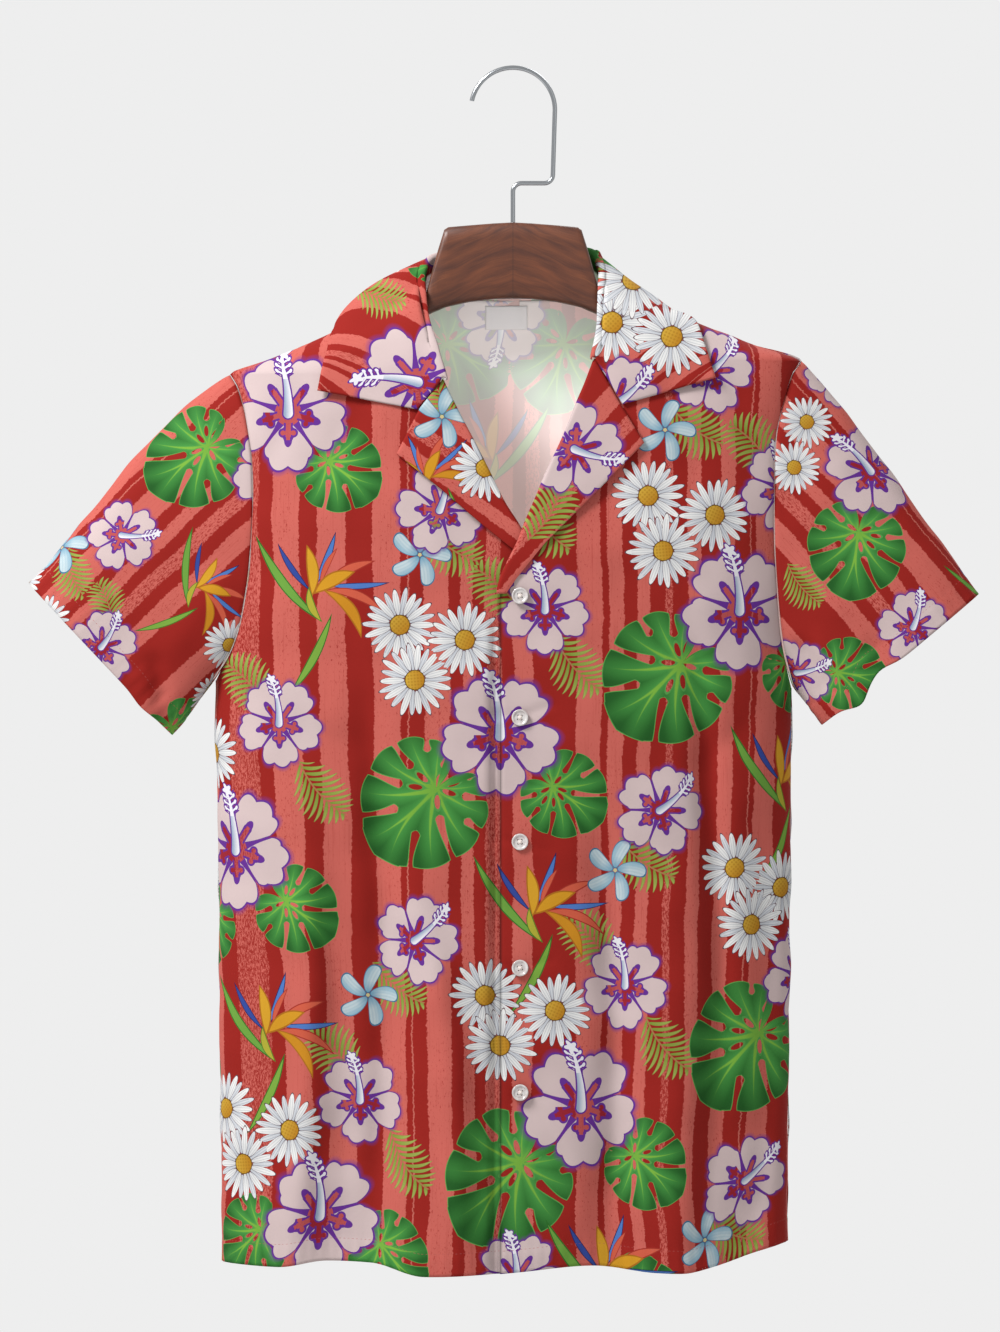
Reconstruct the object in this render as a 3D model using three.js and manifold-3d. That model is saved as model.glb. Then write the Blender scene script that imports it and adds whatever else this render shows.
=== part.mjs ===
// A short-sleeved camp-collar shirt, buttoned at the front and hung on a wooden hanger with a wire hook.
// Millimetres, +Z up. The front faces -Y and the wearer's right is at -X. The origin is the inside top of
// the hook, where a rail holds the hanger.
import * as THREE from "three";
import { mergeVertices } from "three/addons/utils/BufferGeometryUtils.js";
import Module from "manifold-3d";

const RIGHT = -1;
const LEFT = 1;
const FRONT = -1;
const BACK = 1;

// Cloth and seams
const WALL = 1.4;
const DOUBLE_WALL = 2.0;
const SEAM_GAP = 0.34;
const MITRE_LIMIT = 1.9;

// How square the body's level sections are: 2 is an ellipse
const SIDE_ROUNDING = 3.0;
const FACE_ROUNDING = 2.2;

// Half-width of the body on each side, down the shoulder line to its tip and then down the side
const SIDE_LINE = {
  [RIGHT]: [
    { z: -168, x: 76.5 },
    { z: -183, x: 105 },
    { z: -196.5, x: 132.5 },
    { z: -210, x: 164 },
    { z: -221, x: 190 },
    { z: -230, x: 213.7 },
    { z: -300, x: 219 },
    { z: -380, x: 223 },
    { z: -461, x: 225 },
    { z: -620, x: 222.5 },
    { z: -760, x: 221 },
    { z: -899, x: 220 },
  ],
  [LEFT]: [
    { z: -168, x: 76.5 },
    { z: -179, x: 105 },
    { z: -188, x: 131 },
    { z: -199, x: 160 },
    { z: -209, x: 187 },
    { z: -220, x: 218 },
    { z: -300, x: 215 },
    { z: -380, x: 212.5 },
    { z: -467, x: 211 },
    { z: -620, x: 209.5 },
    { z: -760, x: 208.5 },
    { z: -899, x: 207.5 },
  ],
};

// How far the front and the back stand from the middle plane
const DEPTH = [
  { z: -160, front: 22, back: 24 },
  { z: -180, front: 28, back: 29 },
  { z: -205, front: 34, back: 34 },
  { z: -240, front: 41, back: 38 },
  { z: -300, front: 48, back: 43 },
  { z: -380, front: 53, back: 46 },
  { z: -470, front: 54, back: 47 },
  { z: -640, front: 51, back: 46 },
  { z: -780, front: 50, back: 46 },
  { z: -900, front: 52, back: 48 },
];

// The largest folds: upright ridges where height is above 0, troughs where it is below. Each fades in
// from its top, is full at its foot, and leans sideways by lean over its length.
const FOLDS = [
  { face: FRONT, x: -176, lean: 10, top: -470, foot: -900, width: 26, height: 5 },
  { face: FRONT, x: -118, lean: -8, top: -330, foot: -860, width: 30, height: -9 },
  { face: FRONT, x: -58, lean: 6, top: -600, foot: -905, width: 34, height: 8 },
  { face: FRONT, x: 66, lean: 6, top: -620, foot: -905, width: 32, height: -7 },
  { face: FRONT, x: 118, lean: 10, top: -420, foot: -900, width: 26, height: 9 },
  { face: FRONT, x: 160, lean: 6, top: -520, foot: -880, width: 20, height: -7 },
  { face: BACK, x: -150, lean: 8, top: -400, foot: -880, width: 30, height: -9 },
  { face: BACK, x: -82, lean: 6, top: -440, foot: -900, width: 28, height: 8 },
  { face: BACK, x: -10, lean: -6, top: -360, foot: -890, width: 34, height: -8 },
  { face: BACK, x: 66, lean: -4, top: -480, foot: -900, width: 28, height: 7 },
  { face: BACK, x: 136, lean: -8, top: -400, foot: -880, width: 28, height: -8 },
];

// Lowest edge of the front and of the back
const HEM_LEVEL = -899;
const HEM_REACH = 150;
const HEM = [
  { x: -225, front: 0.3, back: 0.3 },
  { x: -177, front: -1.8, back: -1.5 },
  { x: -140, front: 3.1, back: 0.5 },
  { x: -106, front: 1.7, back: 3 },
  { x: -66, front: -8, back: -2 },
  { x: -11, front: -6, back: 2 },
  { x: 58, front: -0.3, back: -3 },
  { x: 107, front: -5.5, back: 0 },
  { x: 127, front: -6, back: 3 },
  { x: 153, front: -0.9, back: 6 },
  { x: 181, front: 8.3, back: 11 },
  { x: 211, front: 17, back: 17 },
];

// Armhole seam on the front and back, from the shoulder tip to the underarm
const ARMHOLE = {
  [RIGHT]: [
    { z: -230, x: 213.7 },
    { z: -240, x: 208 },
    { z: -264, x: 201 },
    { z: -295, x: 196.5 },
    { z: -328, x: 195.7 },
    { z: -370, x: 198 },
    { z: -415, x: 204.7 },
    { z: -440, x: 213 },
    { z: -455, x: 221.5 },
    { z: -461, x: 225 },
  ],
  [LEFT]: [
    { z: -220, x: 218 },
    { z: -231, x: 210.5 },
    { z: -258, x: 202 },
    { z: -278, x: 198.4 },
    { z: -310, x: 196.5 },
    { z: -355, x: 197 },
    { z: -399, x: 199.5 },
    { z: -434, x: 203.5 },
    { z: -458, x: 208.6 },
    { z: -467, x: 211 },
  ],
};

// Inner edge of each front: the button edge, then the roll line of the lapel, then the neckline
const FRONT_EDGE = {
  [RIGHT]: [
    { z: -910, x: 20.5 },
    { z: -386, x: 20.5 },
    { z: -355, x: 6.5 },
    { z: -329, x: -8.3 },
    { z: -279, x: -33.8 },
    { z: -238, x: -54 },
    { z: -215, x: -64 },
    { z: -192, x: -71.5 },
    { z: -176, x: -74 },
    { z: -168, x: -74.5 },
  ],
  [LEFT]: [
    { z: -910, x: -9.8 },
    { z: -400, x: -9.8 },
    { z: -355, x: 7.5 },
    { z: -316.5, x: 23.3 },
    { z: -291, x: 34 },
    { z: -260, x: 47.5 },
    { z: -223, x: 62.3 },
    { z: -205, x: 68.5 },
    { z: -188, x: 72.5 },
    { z: -176, x: 74 },
    { z: -168, x: 74.5 },
  ],
};
const NECK_DIP = 5;

// The wearer's left front laps over the right one, so it stands out and the right one lies back
const LAP_LIFT = { [RIGHT]: -1.2, [LEFT]: 1.4 };
const LAP_LIFT_AT_BREAK = { [RIGHT]: -2.6, [LEFT]: 3.4 };
const LAP_FULL_TO = { [RIGHT]: -16, [LEFT]: 26 };
const LAP_FADE = 50;
const BREAK_LEVEL = -372;
const BREAK_REACH = 70;

// Rows and columns of the panels
const SIDE_ROWS = 13;
const ARMHOLE_ROWS = 12;
const SHOULDER_ROWS = 5;
const FRONT_COLUMNS = 12;
const BACK_COLUMNS = 22;
const ROW_SAMPLES = 160;

// Sleeve ends: top and underarm corner of each cuff, and how deep the open cuff is
const CUFF = {
  [RIGHT]: { top: [-365.5, -387], low: [-257, -502], half: 29, head: 8.5, under: 5 },
  [LEFT]: { top: [352, -395], low: [233.5, -494], half: 29, head: 3, under: 2 },
};
const SLEEVE_RINGS = 9;
const CUFF_ROUNDING = 2.5;
const CUFF_FORWARD = -4;

// Lapels: roll line comes from FRONT_EDGE; these are the cut edges in the front view
const LAPEL = {
  [RIGHT]: {
    rollTop: -237.4,
    rollFoot: -381,
    notch: [-69.8, -257.2],
    corner: [-87.2, -291.4],
    outer: [
      [-54.8, -317],
      [-23.3, -344],
      [3, -365],
    ],
    foot: [16.5, -381.5],
  },
  [LEFT]: {
    rollTop: -222.4,
    rollFoot: -396,
    notch: [80.2, -253.9],
    corner: [98.1, -283],
    outer: [
      [65.2, -317],
      [23.3, -359],
      [3, -384],
    ],
    foot: [-5.3, -396],
  },
};
const LAPEL_ROWS = 14;
const LAPEL_COLUMNS = 8;
const NOTCH_COLUMN = 3;
const ROLL_RADIUS = 2.1;
const ROLL_GAP = 1;
const ROLL_STEPS = 4;
const LAPEL_LIES_AT = 3.2;

// Collar sections from each front end to the middle of the back. seam is on the neckline, fold is the
// roll at the top, edge is the outer style line, crown is how far the fall bows out between them.
const COLLAR = {
  [RIGHT]: [
    { seam: [-51.6, -42, -234.4], fold: [-52, -45.5, -233.6], edge: [-146.7, -42, -243], crown: 0 },
    { seam: [-61, -34, -215], fold: [-58.5, -38.5, -210.5], edge: [-142.5, -35, -222], crown: 4 },
    { seam: [-69, -24.5, -191], fold: [-66, -24, -184], edge: [-137, -18, -206], crown: 10 },
    { seam: [-73, -6, -169.5], fold: [-69, -4, -155], edge: [-132.5, 1, -192.5], crown: 12 },
    { seam: [-65, 17, -171], fold: [-62.5, 14, -140], edge: [-116, 28, -204], crown: 11 },
    { seam: [-38, 25, -172], fold: [-37, 26, -134], edge: [-68, 43, -208], crown: 8 },
    { seam: [0, 27, -173], fold: [0, 30, -130], edge: [0, 46, -203], crown: 5 },
  ],
  [LEFT]: [
    { seam: [60, -38.5, -218.8], fold: [60.4, -42, -218], edge: [152.2, -38, -233.2], crown: 0 },
    { seam: [66.6, -31, -202], fold: [64.8, -34, -199], edge: [145.5, -31, -214], crown: 4 },
    { seam: [71, -20, -183], fold: [66, -21, -174], edge: [138, -16, -198], crown: 6 },
    { seam: [73, -5, -169.5], fold: [67, -3, -151], edge: [128, 1, -188], crown: 4 },
    { seam: [65, 17, -171], fold: [60, 14, -136], edge: [110, 28, -201], crown: 5 },
    { seam: [38, 25, -172], fold: [36, 26, -132], edge: [68, 43, -206], crown: 8 },
    { seam: [0, 27, -173], fold: [0, 30, -130], edge: [0, 46, -203], crown: 5 },
  ],
};
const COLLAR_STEPS = 16;
const FALL_STEPS = 8;
const STAND_STEPS = 2;
const COLLAR_CLEARANCE = 2.2;
const NOTCH_STEP = 2;
const GORGE_GAP = 1.4;
const NOTCH_FADE = 1.3;

// Buttons down the middle of the front
const BUTTON_X = 5.2;
const BUTTON_LEVELS = [-397.5, -488.5, -581.5, -676, -769];
const BUTTON_RADIUS = 6.2;
const BUTTON_HEIGHT = 2.6;
const BUTTON_RIM = 1.5;
const BUTTON_DISH = 1.5;
const BUTTON_HOLE_RADIUS = 0.8;
const BUTTON_HOLE_OFFSET = 1.35;
const BUTTON_OFF_CLOTH = 0.45;

// Label inside the back neck
const LABEL = { low: -21, high: 11, top: -176.5, foot: -194.5, thickness: 1.0, columns: 6, rows: 3 };

// Hook: wire centreline
const WIRE_RADIUS = 1.75;
const HOOK_RADIUS = 31.7;
const HOOK_TIP_ANGLE = 168;
const HOOK_BACK_FOOT = [30.2, -77.2];
const HOOK_STEP_LEVEL = -85.5;
const HOOK_BEND = 6.5;
const WIRE_SIDES = 8;
const WIRE_STEPS = 46;

// Hanger: the neck block that shows, then the arms under the shoulders
const NECK_BLOCK = [
  { x: 0, top: -115.4, bottom: -172.4, half: 10 },
  { x: 14, top: -116.1, bottom: -172.8, half: 10 },
  { x: 33, top: -117.6, bottom: -175, half: 10.3 },
  { x: 48.8, top: -119, bottom: -178.4, half: 10.6 },
  { x: 51.8, top: -121, bottom: -179.3, half: 10.7 },
  { x: 56.3, top: -135.4, bottom: -181.3, half: 10.8 },
  { x: 60.4, top: -149.8, bottom: -183, half: 11 },
  { x: 64, top: -164.2, bottom: -184.6, half: 11 },
  { x: 67, top: -173, bottom: -186.4, half: 10 },
  { x: 76, top: -176, bottom: -191, half: 9.5 },
];
const ARM_START = 88;
const ARM_END = 204;
const ARM_STATIONS = 9;
const ARM_HEIGHT = [
  { x: 88, height: 19, half: 10 },
  { x: 110, height: 24, half: 13 },
  { x: 140, height: 26, half: 15.5 },
  { x: 180, height: 22, half: 17 },
  { x: 197, height: 15, half: 13 },
  { x: 204, height: 8, half: 7 },
];
const ARM_UNDER_CLOTH = 1.15;
const ARM_LOWERING = 0.2;
const HANGER_POINTS = 14;
const HANGER_ROUNDING = 3.2;

const vector = (x, y, z) => new THREE.Vector3(x, y, z);
const mix = (a, b, t) => a + (b - a) * t;
const ease = (t) => {
  const held = Math.min(1, Math.max(0, t));
  return held * held * (3 - 2 * held);
};

// A column of a table read at a place between its rows, on a smooth line that never overshoots
function read(table, place, column, at) {
  const rows = table[0][place] < table[table.length - 1][place] ? table : [...table].reverse();
  const last = rows.length - 1;
  if (at <= rows[0][place]) return rows[0][column];
  if (at >= rows[last][place]) return rows[last][column];
  const i = rows.findIndex((row) => row[place] > at) - 1;
  const slope = (k) =>
    (rows[k + 1][column] - rows[k][column]) / (rows[k + 1][place] - rows[k][place]);
  const tangent = (k) => {
    if (k === 0) return slope(0);
    if (k === last) return slope(last - 1);
    const before = slope(k - 1);
    const after = slope(k);
    return before * after > 0 ? (2 * before * after) / (before + after) : 0;
  };
  const width = rows[i + 1][place] - rows[i][place];
  const t = (at - rows[i][place]) / width;
  const a = rows[i][column];
  const b = rows[i + 1][column];
  return (
    a * (1 + 2 * t) * (1 - t) ** 2 +
    tangent(i) * width * t * (1 - t) ** 2 +
    b * t * t * (3 - 2 * t) -
    tangent(i + 1) * width * t * t * (1 - t)
  );
}

// The body's surface, by level and by angle: 0 is the left side, 90 the front, 180 the right side

const halfWidth = (side, z) => read(SIDE_LINE[side], "z", "x", z);
const depth = (face, z) => read(DEPTH, "z", face === FRONT ? "front" : "back", z);

function foldHeight(face, x, z) {
  return FOLDS.filter((fold) => fold.face === face).reduce((sum, fold) => {
    const down = (fold.top - z) / (fold.top - fold.foot);
    const off = (x - fold.x - fold.lean * down) / fold.width;
    return sum + fold.height * ease(down) * Math.exp(-off * off);
  }, 0);
}

function hemShift(face, x, z) {
  const near = ease((HEM_LEVEL + HEM_REACH - z) / HEM_REACH);
  return near * read(HEM, "x", face === FRONT ? "front" : "back", x);
}

function bodyPoint(angle, z) {
  const c = Math.cos(angle);
  const s = Math.sin(angle);
  const side = c < 0 ? RIGHT : LEFT;
  const face = s > 0 ? FRONT : BACK;
  const x = side * halfWidth(side, z) * Math.abs(c) ** (2 / SIDE_ROUNDING);
  const y = face * (depth(face, z) + foldHeight(face, x, z)) * Math.abs(s) ** (2 / FACE_ROUNDING);
  return vector(x, y, z + hemShift(face, x, z));
}

function bodyNormal(angle, z) {
  const turn = 0.02;
  const rise = 1.5;
  const across = bodyPoint(angle + turn, z).sub(bodyPoint(angle - turn, z));
  const up = bodyPoint(angle, z + rise).sub(bodyPoint(angle, z - rise));
  return up.cross(across).normalize();
}

// The angle on one face at which a level section reaches x
function angleAt(face, x, z) {
  const side = x < 0 ? RIGHT : LEFT;
  const share = Math.min(1, Math.abs(x) / halfWidth(side, z)) ** (SIDE_ROUNDING / 2);
  const fromSide = Math.acos(share);
  const onFront = side === LEFT ? fromSide : Math.PI - fromSide;
  return face === FRONT ? onFront : -onFront;
}

// Walls

const volumeUnder = (a, b, c) => a.dot(b.clone().cross(c));

// A closed wall from two grids of points, grid[row][column], joined round their rims. A twisted rim is
// split the way that cuts into the wall, so that two walls that share a rim never cross there.
function wall(outer, inner, ring = false) {
  const rows = outer.length;
  const columns = outer[0].length;
  const points = [...outer.flat(), ...inner.flat()];
  const at = (layer, j, i) => (layer * rows + j) * columns + (i % columns);
  const faces = [];
  const quad = (a, b, c, d) => faces.push(a, b, c, a, c, d);
  const spans = ring ? columns : columns - 1;
  for (let j = 0; j < rows - 1; j++)
    for (let i = 0; i < spans; i++) {
      quad(at(0, j, i), at(0, j, i + 1), at(0, j + 1, i + 1), at(0, j + 1, i));
      quad(at(1, j, i + 1), at(1, j, i), at(1, j + 1, i), at(1, j + 1, i + 1));
    }
  const rims = [];
  for (let i = 0; i < spans; i++) {
    rims.push([at(1, 0, i), at(1, 0, i + 1), at(0, 0, i + 1), at(0, 0, i)]);
    rims.push([at(0, rows - 1, i), at(0, rows - 1, i + 1), at(1, rows - 1, i + 1), at(1, rows - 1, i)]);
  }
  const end = columns - 1;
  if (!ring)
    for (let j = 0; j < rows - 1; j++) {
      rims.push([at(0, j, 0), at(0, j + 1, 0), at(1, j + 1, 0), at(1, j, 0)]);
      rims.push([at(1, j, end), at(1, j + 1, end), at(0, j + 1, end), at(0, j, end)]);
    }
  const volumeOf = (corners) => {
    const [a, b, c, d] = corners.map((k) => points[k]);
    return volumeUnder(a, b, c) + volumeUnder(a, c, d);
  };
  let whole = rims.reduce((sum, rim) => sum + volumeOf(rim), 0);
  for (let k = 0; k < faces.length; k += 3)
    whole += volumeUnder(points[faces[k]], points[faces[k + 1]], points[faces[k + 2]]);
  rims.forEach((rim) => {
    const other = [...rim.slice(1), rim[0]];
    const thinner = (volumeOf(other) - volumeOf(rim)) * whole < 0;
    quad(...(thinner ? other : rim));
  });
  return closedGeometry(points, faces, whole < 0);
}

// Geometry of shared points and triangles, its faces turned if they point inwards
function closedGeometry(points, faces, turned) {
  const geometry = new THREE.BufferGeometry();
  geometry.setAttribute("position", new THREE.Float32BufferAttribute(points.flatMap((p) => [p.x, p.y, p.z]), 3));
  if (turned)
    for (let k = 0; k < faces.length; k += 3) [faces[k + 1], faces[k + 2]] = [faces[k + 2], faces[k + 1]];
  geometry.setIndex(faces);
  return geometry;
}

// The normal at each point of a grid, from its neighbours
function gridNormals(grid, ring = false) {
  const rows = grid.length;
  const columns = grid[0].length;
  return grid.map((row, j) =>
    row.map((_, i) => {
      const right = ring ? (i + 1) % columns : Math.min(columns - 1, i + 1);
      const left = ring ? (i + columns - 1) % columns : Math.max(0, i - 1);
      const across = grid[j][right].clone().sub(grid[j][left]);
      const along = grid[Math.min(rows - 1, j + 1)][i].clone().sub(grid[Math.max(0, j - 1)][i]);
      return across.cross(along).normalize();
    }),
  );
}

// A wall with a grid of points as its middle
function wallAbout(grid, thickness, ring = false) {
  const normals = gridNormals(grid, ring);
  const moved = (by) => grid.map((row, j) => row.map((p, i) => p.clone().addScaledVector(normals[j][i], by)));
  return wall(moved(thickness / 2), moved(-thickness / 2), ring);
}

// Body panels

// Levels of a side's rows: up the side seam, round the armhole, up the shoulder seam
function sideLevels(side) {
  const tip = ARMHOLE[side][0].z;
  const underarm = ARMHOLE[side][ARMHOLE[side].length - 1].z;
  const neck = SIDE_LINE[side][0].z;
  const levels = [];
  for (let j = 0; j < SIDE_ROWS; j++) levels.push(mix(HEM_LEVEL, underarm, j / SIDE_ROWS));
  for (let j = 0; j < ARMHOLE_ROWS; j++)
    levels.push(mix(underarm, tip, (1 - Math.cos((Math.PI * j) / ARMHOLE_ROWS)) / 2));
  for (let j = 0; j <= SHOULDER_ROWS; j++) levels.push(mix(tip, neck, j / SHOULDER_ROWS));
  return levels;
}

const ARMHOLE_START = SIDE_ROWS;
const ARMHOLE_STOP = SIDE_ROWS + ARMHOLE_ROWS;
const inArmhole = (j) => j >= ARMHOLE_START && j <= ARMHOLE_STOP;

// The angle at which a face's row ends on a side: on the seam, or on the armhole
function outerAngle(side, face, z, j) {
  const seam = side === LEFT ? 0 : face * -Math.PI;
  const beyond = j <= ARMHOLE_START || j >= ARMHOLE_STOP;
  return beyond ? seam : angleAt(face, side * read(ARMHOLE[side], "z", "x", z), z);
}

// Armhole seam of a side as one closed ring: tip, down the front, underarm, up the back
function armholeRing(side) {
  const levels = sideLevels(side);
  const ring = [];
  const add = (face, j) => {
    const angle = outerAngle(side, face, levels[j], j);
    ring.push({ point: bodyPoint(angle, levels[j]), normal: bodyNormal(angle, levels[j]) });
  };
  for (let j = ARMHOLE_STOP; j > ARMHOLE_START; j--) add(FRONT, j);
  for (let j = ARMHOLE_START; j < ARMHOLE_STOP; j++) add(BACK, j);
  return ring;
}

// The ring again, with what the body and the sleeve share there: the mitre between their walls
function mitredRing(side, sleeveStep) {
  const ring = armholeRing(side);
  const count = ring.length;
  return ring.map(({ point, normal }, i) => {
    const along = ring[(i + 1) % count].point.clone().sub(ring[(i + count - 1) % count].point).normalize();
    const toBody = normal.clone().cross(along).normalize();
    if (toBody.dot(vector(-side, 0, -0.6)) < 0) toBody.negate();
    const toSleeve = sleeveStep[i].clone().addScaledVector(along, -sleeveStep[i].dot(along)).normalize();
    const apart = toBody.clone().sub(toSleeve).normalize();
    const inward = along.clone().cross(apart).normalize();
    if (inward.dot(normal) > 0) inward.negate();
    const reach = Math.min(MITRE_LIMIT, 1 / Math.max(0.2, -inward.dot(normal)));
    return { point, apart, inner: point.clone().addScaledVector(inward, WALL * reach) };
  });
}

// Angles that share out a row evenly between two ends
function evenAngles(from, to, z, count) {
  const fine = [];
  for (let k = 0; k <= ROW_SAMPLES; k++) fine.push(mix(from, to, k / ROW_SAMPLES));
  const lengths = [0];
  for (let k = 1; k < fine.length; k++)
    lengths.push(lengths[k - 1] + bodyPoint(fine[k], z).distanceTo(bodyPoint(fine[k - 1], z)));
  const angles = [];
  let k = 0;
  for (let i = 0; i <= count; i++) {
    const wanted = (lengths[ROW_SAMPLES] * i) / count;
    while (k < ROW_SAMPLES - 1 && lengths[k + 1] < wanted) k++;
    const share = (wanted - lengths[k]) / Math.max(1e-6, lengths[k + 1] - lengths[k]);
    angles.push(mix(fine[k], fine[k + 1], Math.min(1, share)));
  }
  return angles;
}

// How far a front stands out of the common surface where the fronts lap
function lapLift(side, x, z) {
  const off = side === LEFT ? x - LAP_FULL_TO[side] : LAP_FULL_TO[side] - x;
  const near = 1 - ease(off / LAP_FADE);
  const atBreak = 1 - ease(Math.abs(z - BREAK_LEVEL) / BREAK_REACH);
  return near * mix(LAP_LIFT[side], LAP_LIFT_AT_BREAK[side], atBreak);
}

function panelPoint(face, side, angle, z, out) {
  const point = bodyPoint(angle, z);
  const lift = face === FRONT ? lapLift(side, point.x, z) : 0;
  return point.addScaledVector(bodyNormal(angle, z), lift + out);
}

// Moves the two seam corners of a row apart from the next panel, along the row
const pulled = (p, towards) => p.clone().addScaledVector(towards.clone().sub(p).normalize(), SEAM_GAP / 2);

// Gives a panel's edge column its seam gap, or the armhole's mitre
function finishEdge(outer, inner, column, next, side, face, mitres) {
  outer.forEach((row, j) => {
    const onSeam = j <= ARMHOLE_START || j >= ARMHOLE_STOP;
    const pull = vector(0, (face * SEAM_GAP) / 2, 0);
    if (inArmhole(j)) {
      const count = mitres.length;
      const i = face === FRONT ? ARMHOLE_STOP - j : (ARMHOLE_ROWS + j - ARMHOLE_START) % count;
      const { point, apart, inner: innerPoint } = mitres[i];
      row[column] = point.clone().addScaledVector(apart, SEAM_GAP / 2);
      inner[j][column] = innerPoint.clone().addScaledVector(apart, SEAM_GAP / 2);
    }
    if (onSeam) {
      row[column] = row[column].clone().add(pull);
      inner[j][column] = inner[j][column].clone().add(pull);
    }
  });
}

function frontPanel(side, mitres) {
  const levels = sideLevels(side);
  const outer = [];
  const inner = [];
  levels.forEach((z, j) => {
    const edge = angleAt(FRONT, read(FRONT_EDGE[side], "z", "x", z), z);
    const angles = evenAngles(edge, outerAngle(side, FRONT, z, j), z, FRONT_COLUMNS);
    outer.push(angles.map((a) => panelPoint(FRONT, side, a, z, 0)));
    inner.push(angles.map((a) => panelPoint(FRONT, side, a, z, -WALL)));
  });
  finishEdge(outer, inner, FRONT_COLUMNS, FRONT_COLUMNS - 1, side, FRONT, mitres);
  return wall(outer, inner);
}

function backPanel(mitresRight, mitresLeft) {
  const rightLevels = sideLevels(RIGHT);
  const leftLevels = sideLevels(LEFT);
  const outer = [];
  const inner = [];
  rightLevels.forEach((zRight, j) => {
    const zLeft = leftLevels[j];
    const dip = NECK_DIP * ease((j - ARMHOLE_STOP + 2) / (SHOULDER_ROWS + 2));
    const from = outerAngle(RIGHT, BACK, zRight, j);
    const to = outerAngle(LEFT, BACK, zLeft, j);
    const angles = evenAngles(from, to, (zRight + zLeft) / 2, BACK_COLUMNS);
    const level = (i) => {
      const u = i / BACK_COLUMNS;
      return mix(zRight, zLeft, u) - dip * (1 - (2 * u - 1) ** 2);
    };
    outer.push(angles.map((a, i) => panelPoint(BACK, 0, a, level(i), 0)));
    inner.push(angles.map((a, i) => panelPoint(BACK, 0, a, level(i), -WALL)));
  });
  finishEdge(outer, inner, 0, 1, RIGHT, BACK, mitresRight);
  finishEdge(outer, inner, BACK_COLUMNS, BACK_COLUMNS - 1, LEFT, BACK, mitresLeft);
  return wall(outer, inner);
}

// Sleeves

// The cuff, sampled in step with the armhole ring: top, front, underarm, back
function cuffRing(side, count) {
  const { top, low, half } = CUFF[side];
  const ring = [];
  for (let i = 0; i < count; i++) {
    const turn = (2 * Math.PI * i) / count;
    const c = Math.cos(turn);
    const s = Math.sin(turn);
    const along = 0.5 - 0.5 * Math.sign(c) * Math.abs(c) ** (2 / CUFF_ROUNDING);
    const y = CUFF_FORWARD - half * Math.sign(s) * Math.abs(s) ** (2 / CUFF_ROUNDING);
    ring.push(vector(mix(top[0], low[0], along), y, mix(top[1], low[1], along)));
  }
  return ring;
}

function sleeveRings(side) {
  const armhole = armholeRing(side).map((r) => r.point);
  const count = armhole.length;
  const cuff = cuffRing(side, count);
  const { head, under, top, low } = CUFF[side];
  const outwards = vector(low[1] - top[1], 0, -(low[0] - top[0])).multiplyScalar(-side).normalize();
  const raised = vector(side * 0.75, 0, 0.66);
  const rings = [];
  for (let k = 0; k <= SLEEVE_RINGS; k++) {
    const w = k / SLEEVE_RINGS;
    rings.push(
      armhole.map((p, i) => {
        const c = Math.cos((2 * Math.PI * i) / count);
        const headBulge = head * Math.max(0, c) ** 2 * 6.75 * w * (1 - w) ** 2;
        const underBulge = under * Math.max(0, -c) ** 3 * 6.75 * w * w * (1 - w);
        return p
          .clone()
          .lerp(cuff[i], w)
          .addScaledVector(raised, headBulge)
          .addScaledVector(outwards, underBulge * -1);
      }),
    );
  }
  return rings;
}

function sleeve(side, rings, mitres) {
  const normals = gridNormals(rings, true);
  const inwards = normals[3][0].dot(vector(side * 0.7, 0, 0.7)) > 0 ? -1 : 1;
  const inner = rings.map((ring, k) =>
    ring.map((p, i) => p.clone().addScaledVector(normals[k][i], inwards * WALL)),
  );
  const outer = rings.map((ring) => ring.map((p) => p.clone()));
  mitres.forEach(({ point, apart, inner: innerPoint }, i) => {
    outer[0][i] = point.clone().addScaledVector(apart, -SEAM_GAP / 2);
    inner[0][i] = innerPoint.clone().addScaledVector(apart, -SEAM_GAP / 2);
  });
  return wall(outer, inner, true);
}

// Lapels and collar

// A point on a front panel, seen from the front at x and z, moved out by so much
function onFront(side, x, z, out) {
  return panelPoint(FRONT, side, angleAt(FRONT, x, z), z, out);
}

// A point at a share of a broken line's length
function alongLine(points, share) {
  const lengths = [0];
  for (let k = 1; k < points.length; k++)
    lengths.push(lengths[k - 1] + Math.hypot(points[k][0] - points[k - 1][0], points[k][1] - points[k - 1][1]));
  const wanted = share * lengths[lengths.length - 1];
  let k = 1;
  while (k < points.length - 1 && lengths[k] < wanted) k++;
  const t = (wanted - lengths[k - 1]) / (lengths[k] - lengths[k - 1]);
  return [mix(points[k - 1][0], points[k][0], t), mix(points[k - 1][1], points[k][1], t)];
}

// Lapel in the front view: up the roll line by v, across to the cut edge by column
function lapelPlace(side, v, column) {
  const { rollTop, rollFoot, notch, corner, outer, foot } = LAPEL[side];
  const rollAt = (z) => [read(FRONT_EDGE[side], "z", "x", z), z];
  const roll = rollAt(mix(rollFoot, rollTop, v));
  const cut = alongLine([foot, ...[...outer].reverse(), corner], v);
  const r = column / LAPEL_COLUMNS;
  const gorge = rollAt(rollTop);
  const top =
    column <= NOTCH_COLUMN
      ? alongLine([gorge, notch], column / NOTCH_COLUMN)
      : alongLine([notch, corner], (column - NOTCH_COLUMN) / (LAPEL_COLUMNS - NOTCH_COLUMN));
  const straight = [mix(gorge[0], corner[0], r), mix(gorge[1], corner[1], r)];
  const bend = v ** 3;
  return [0, 1].map((k) => mix(roll[k], cut[k], r) + bend * (top[k] - straight[k]));
}

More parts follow.
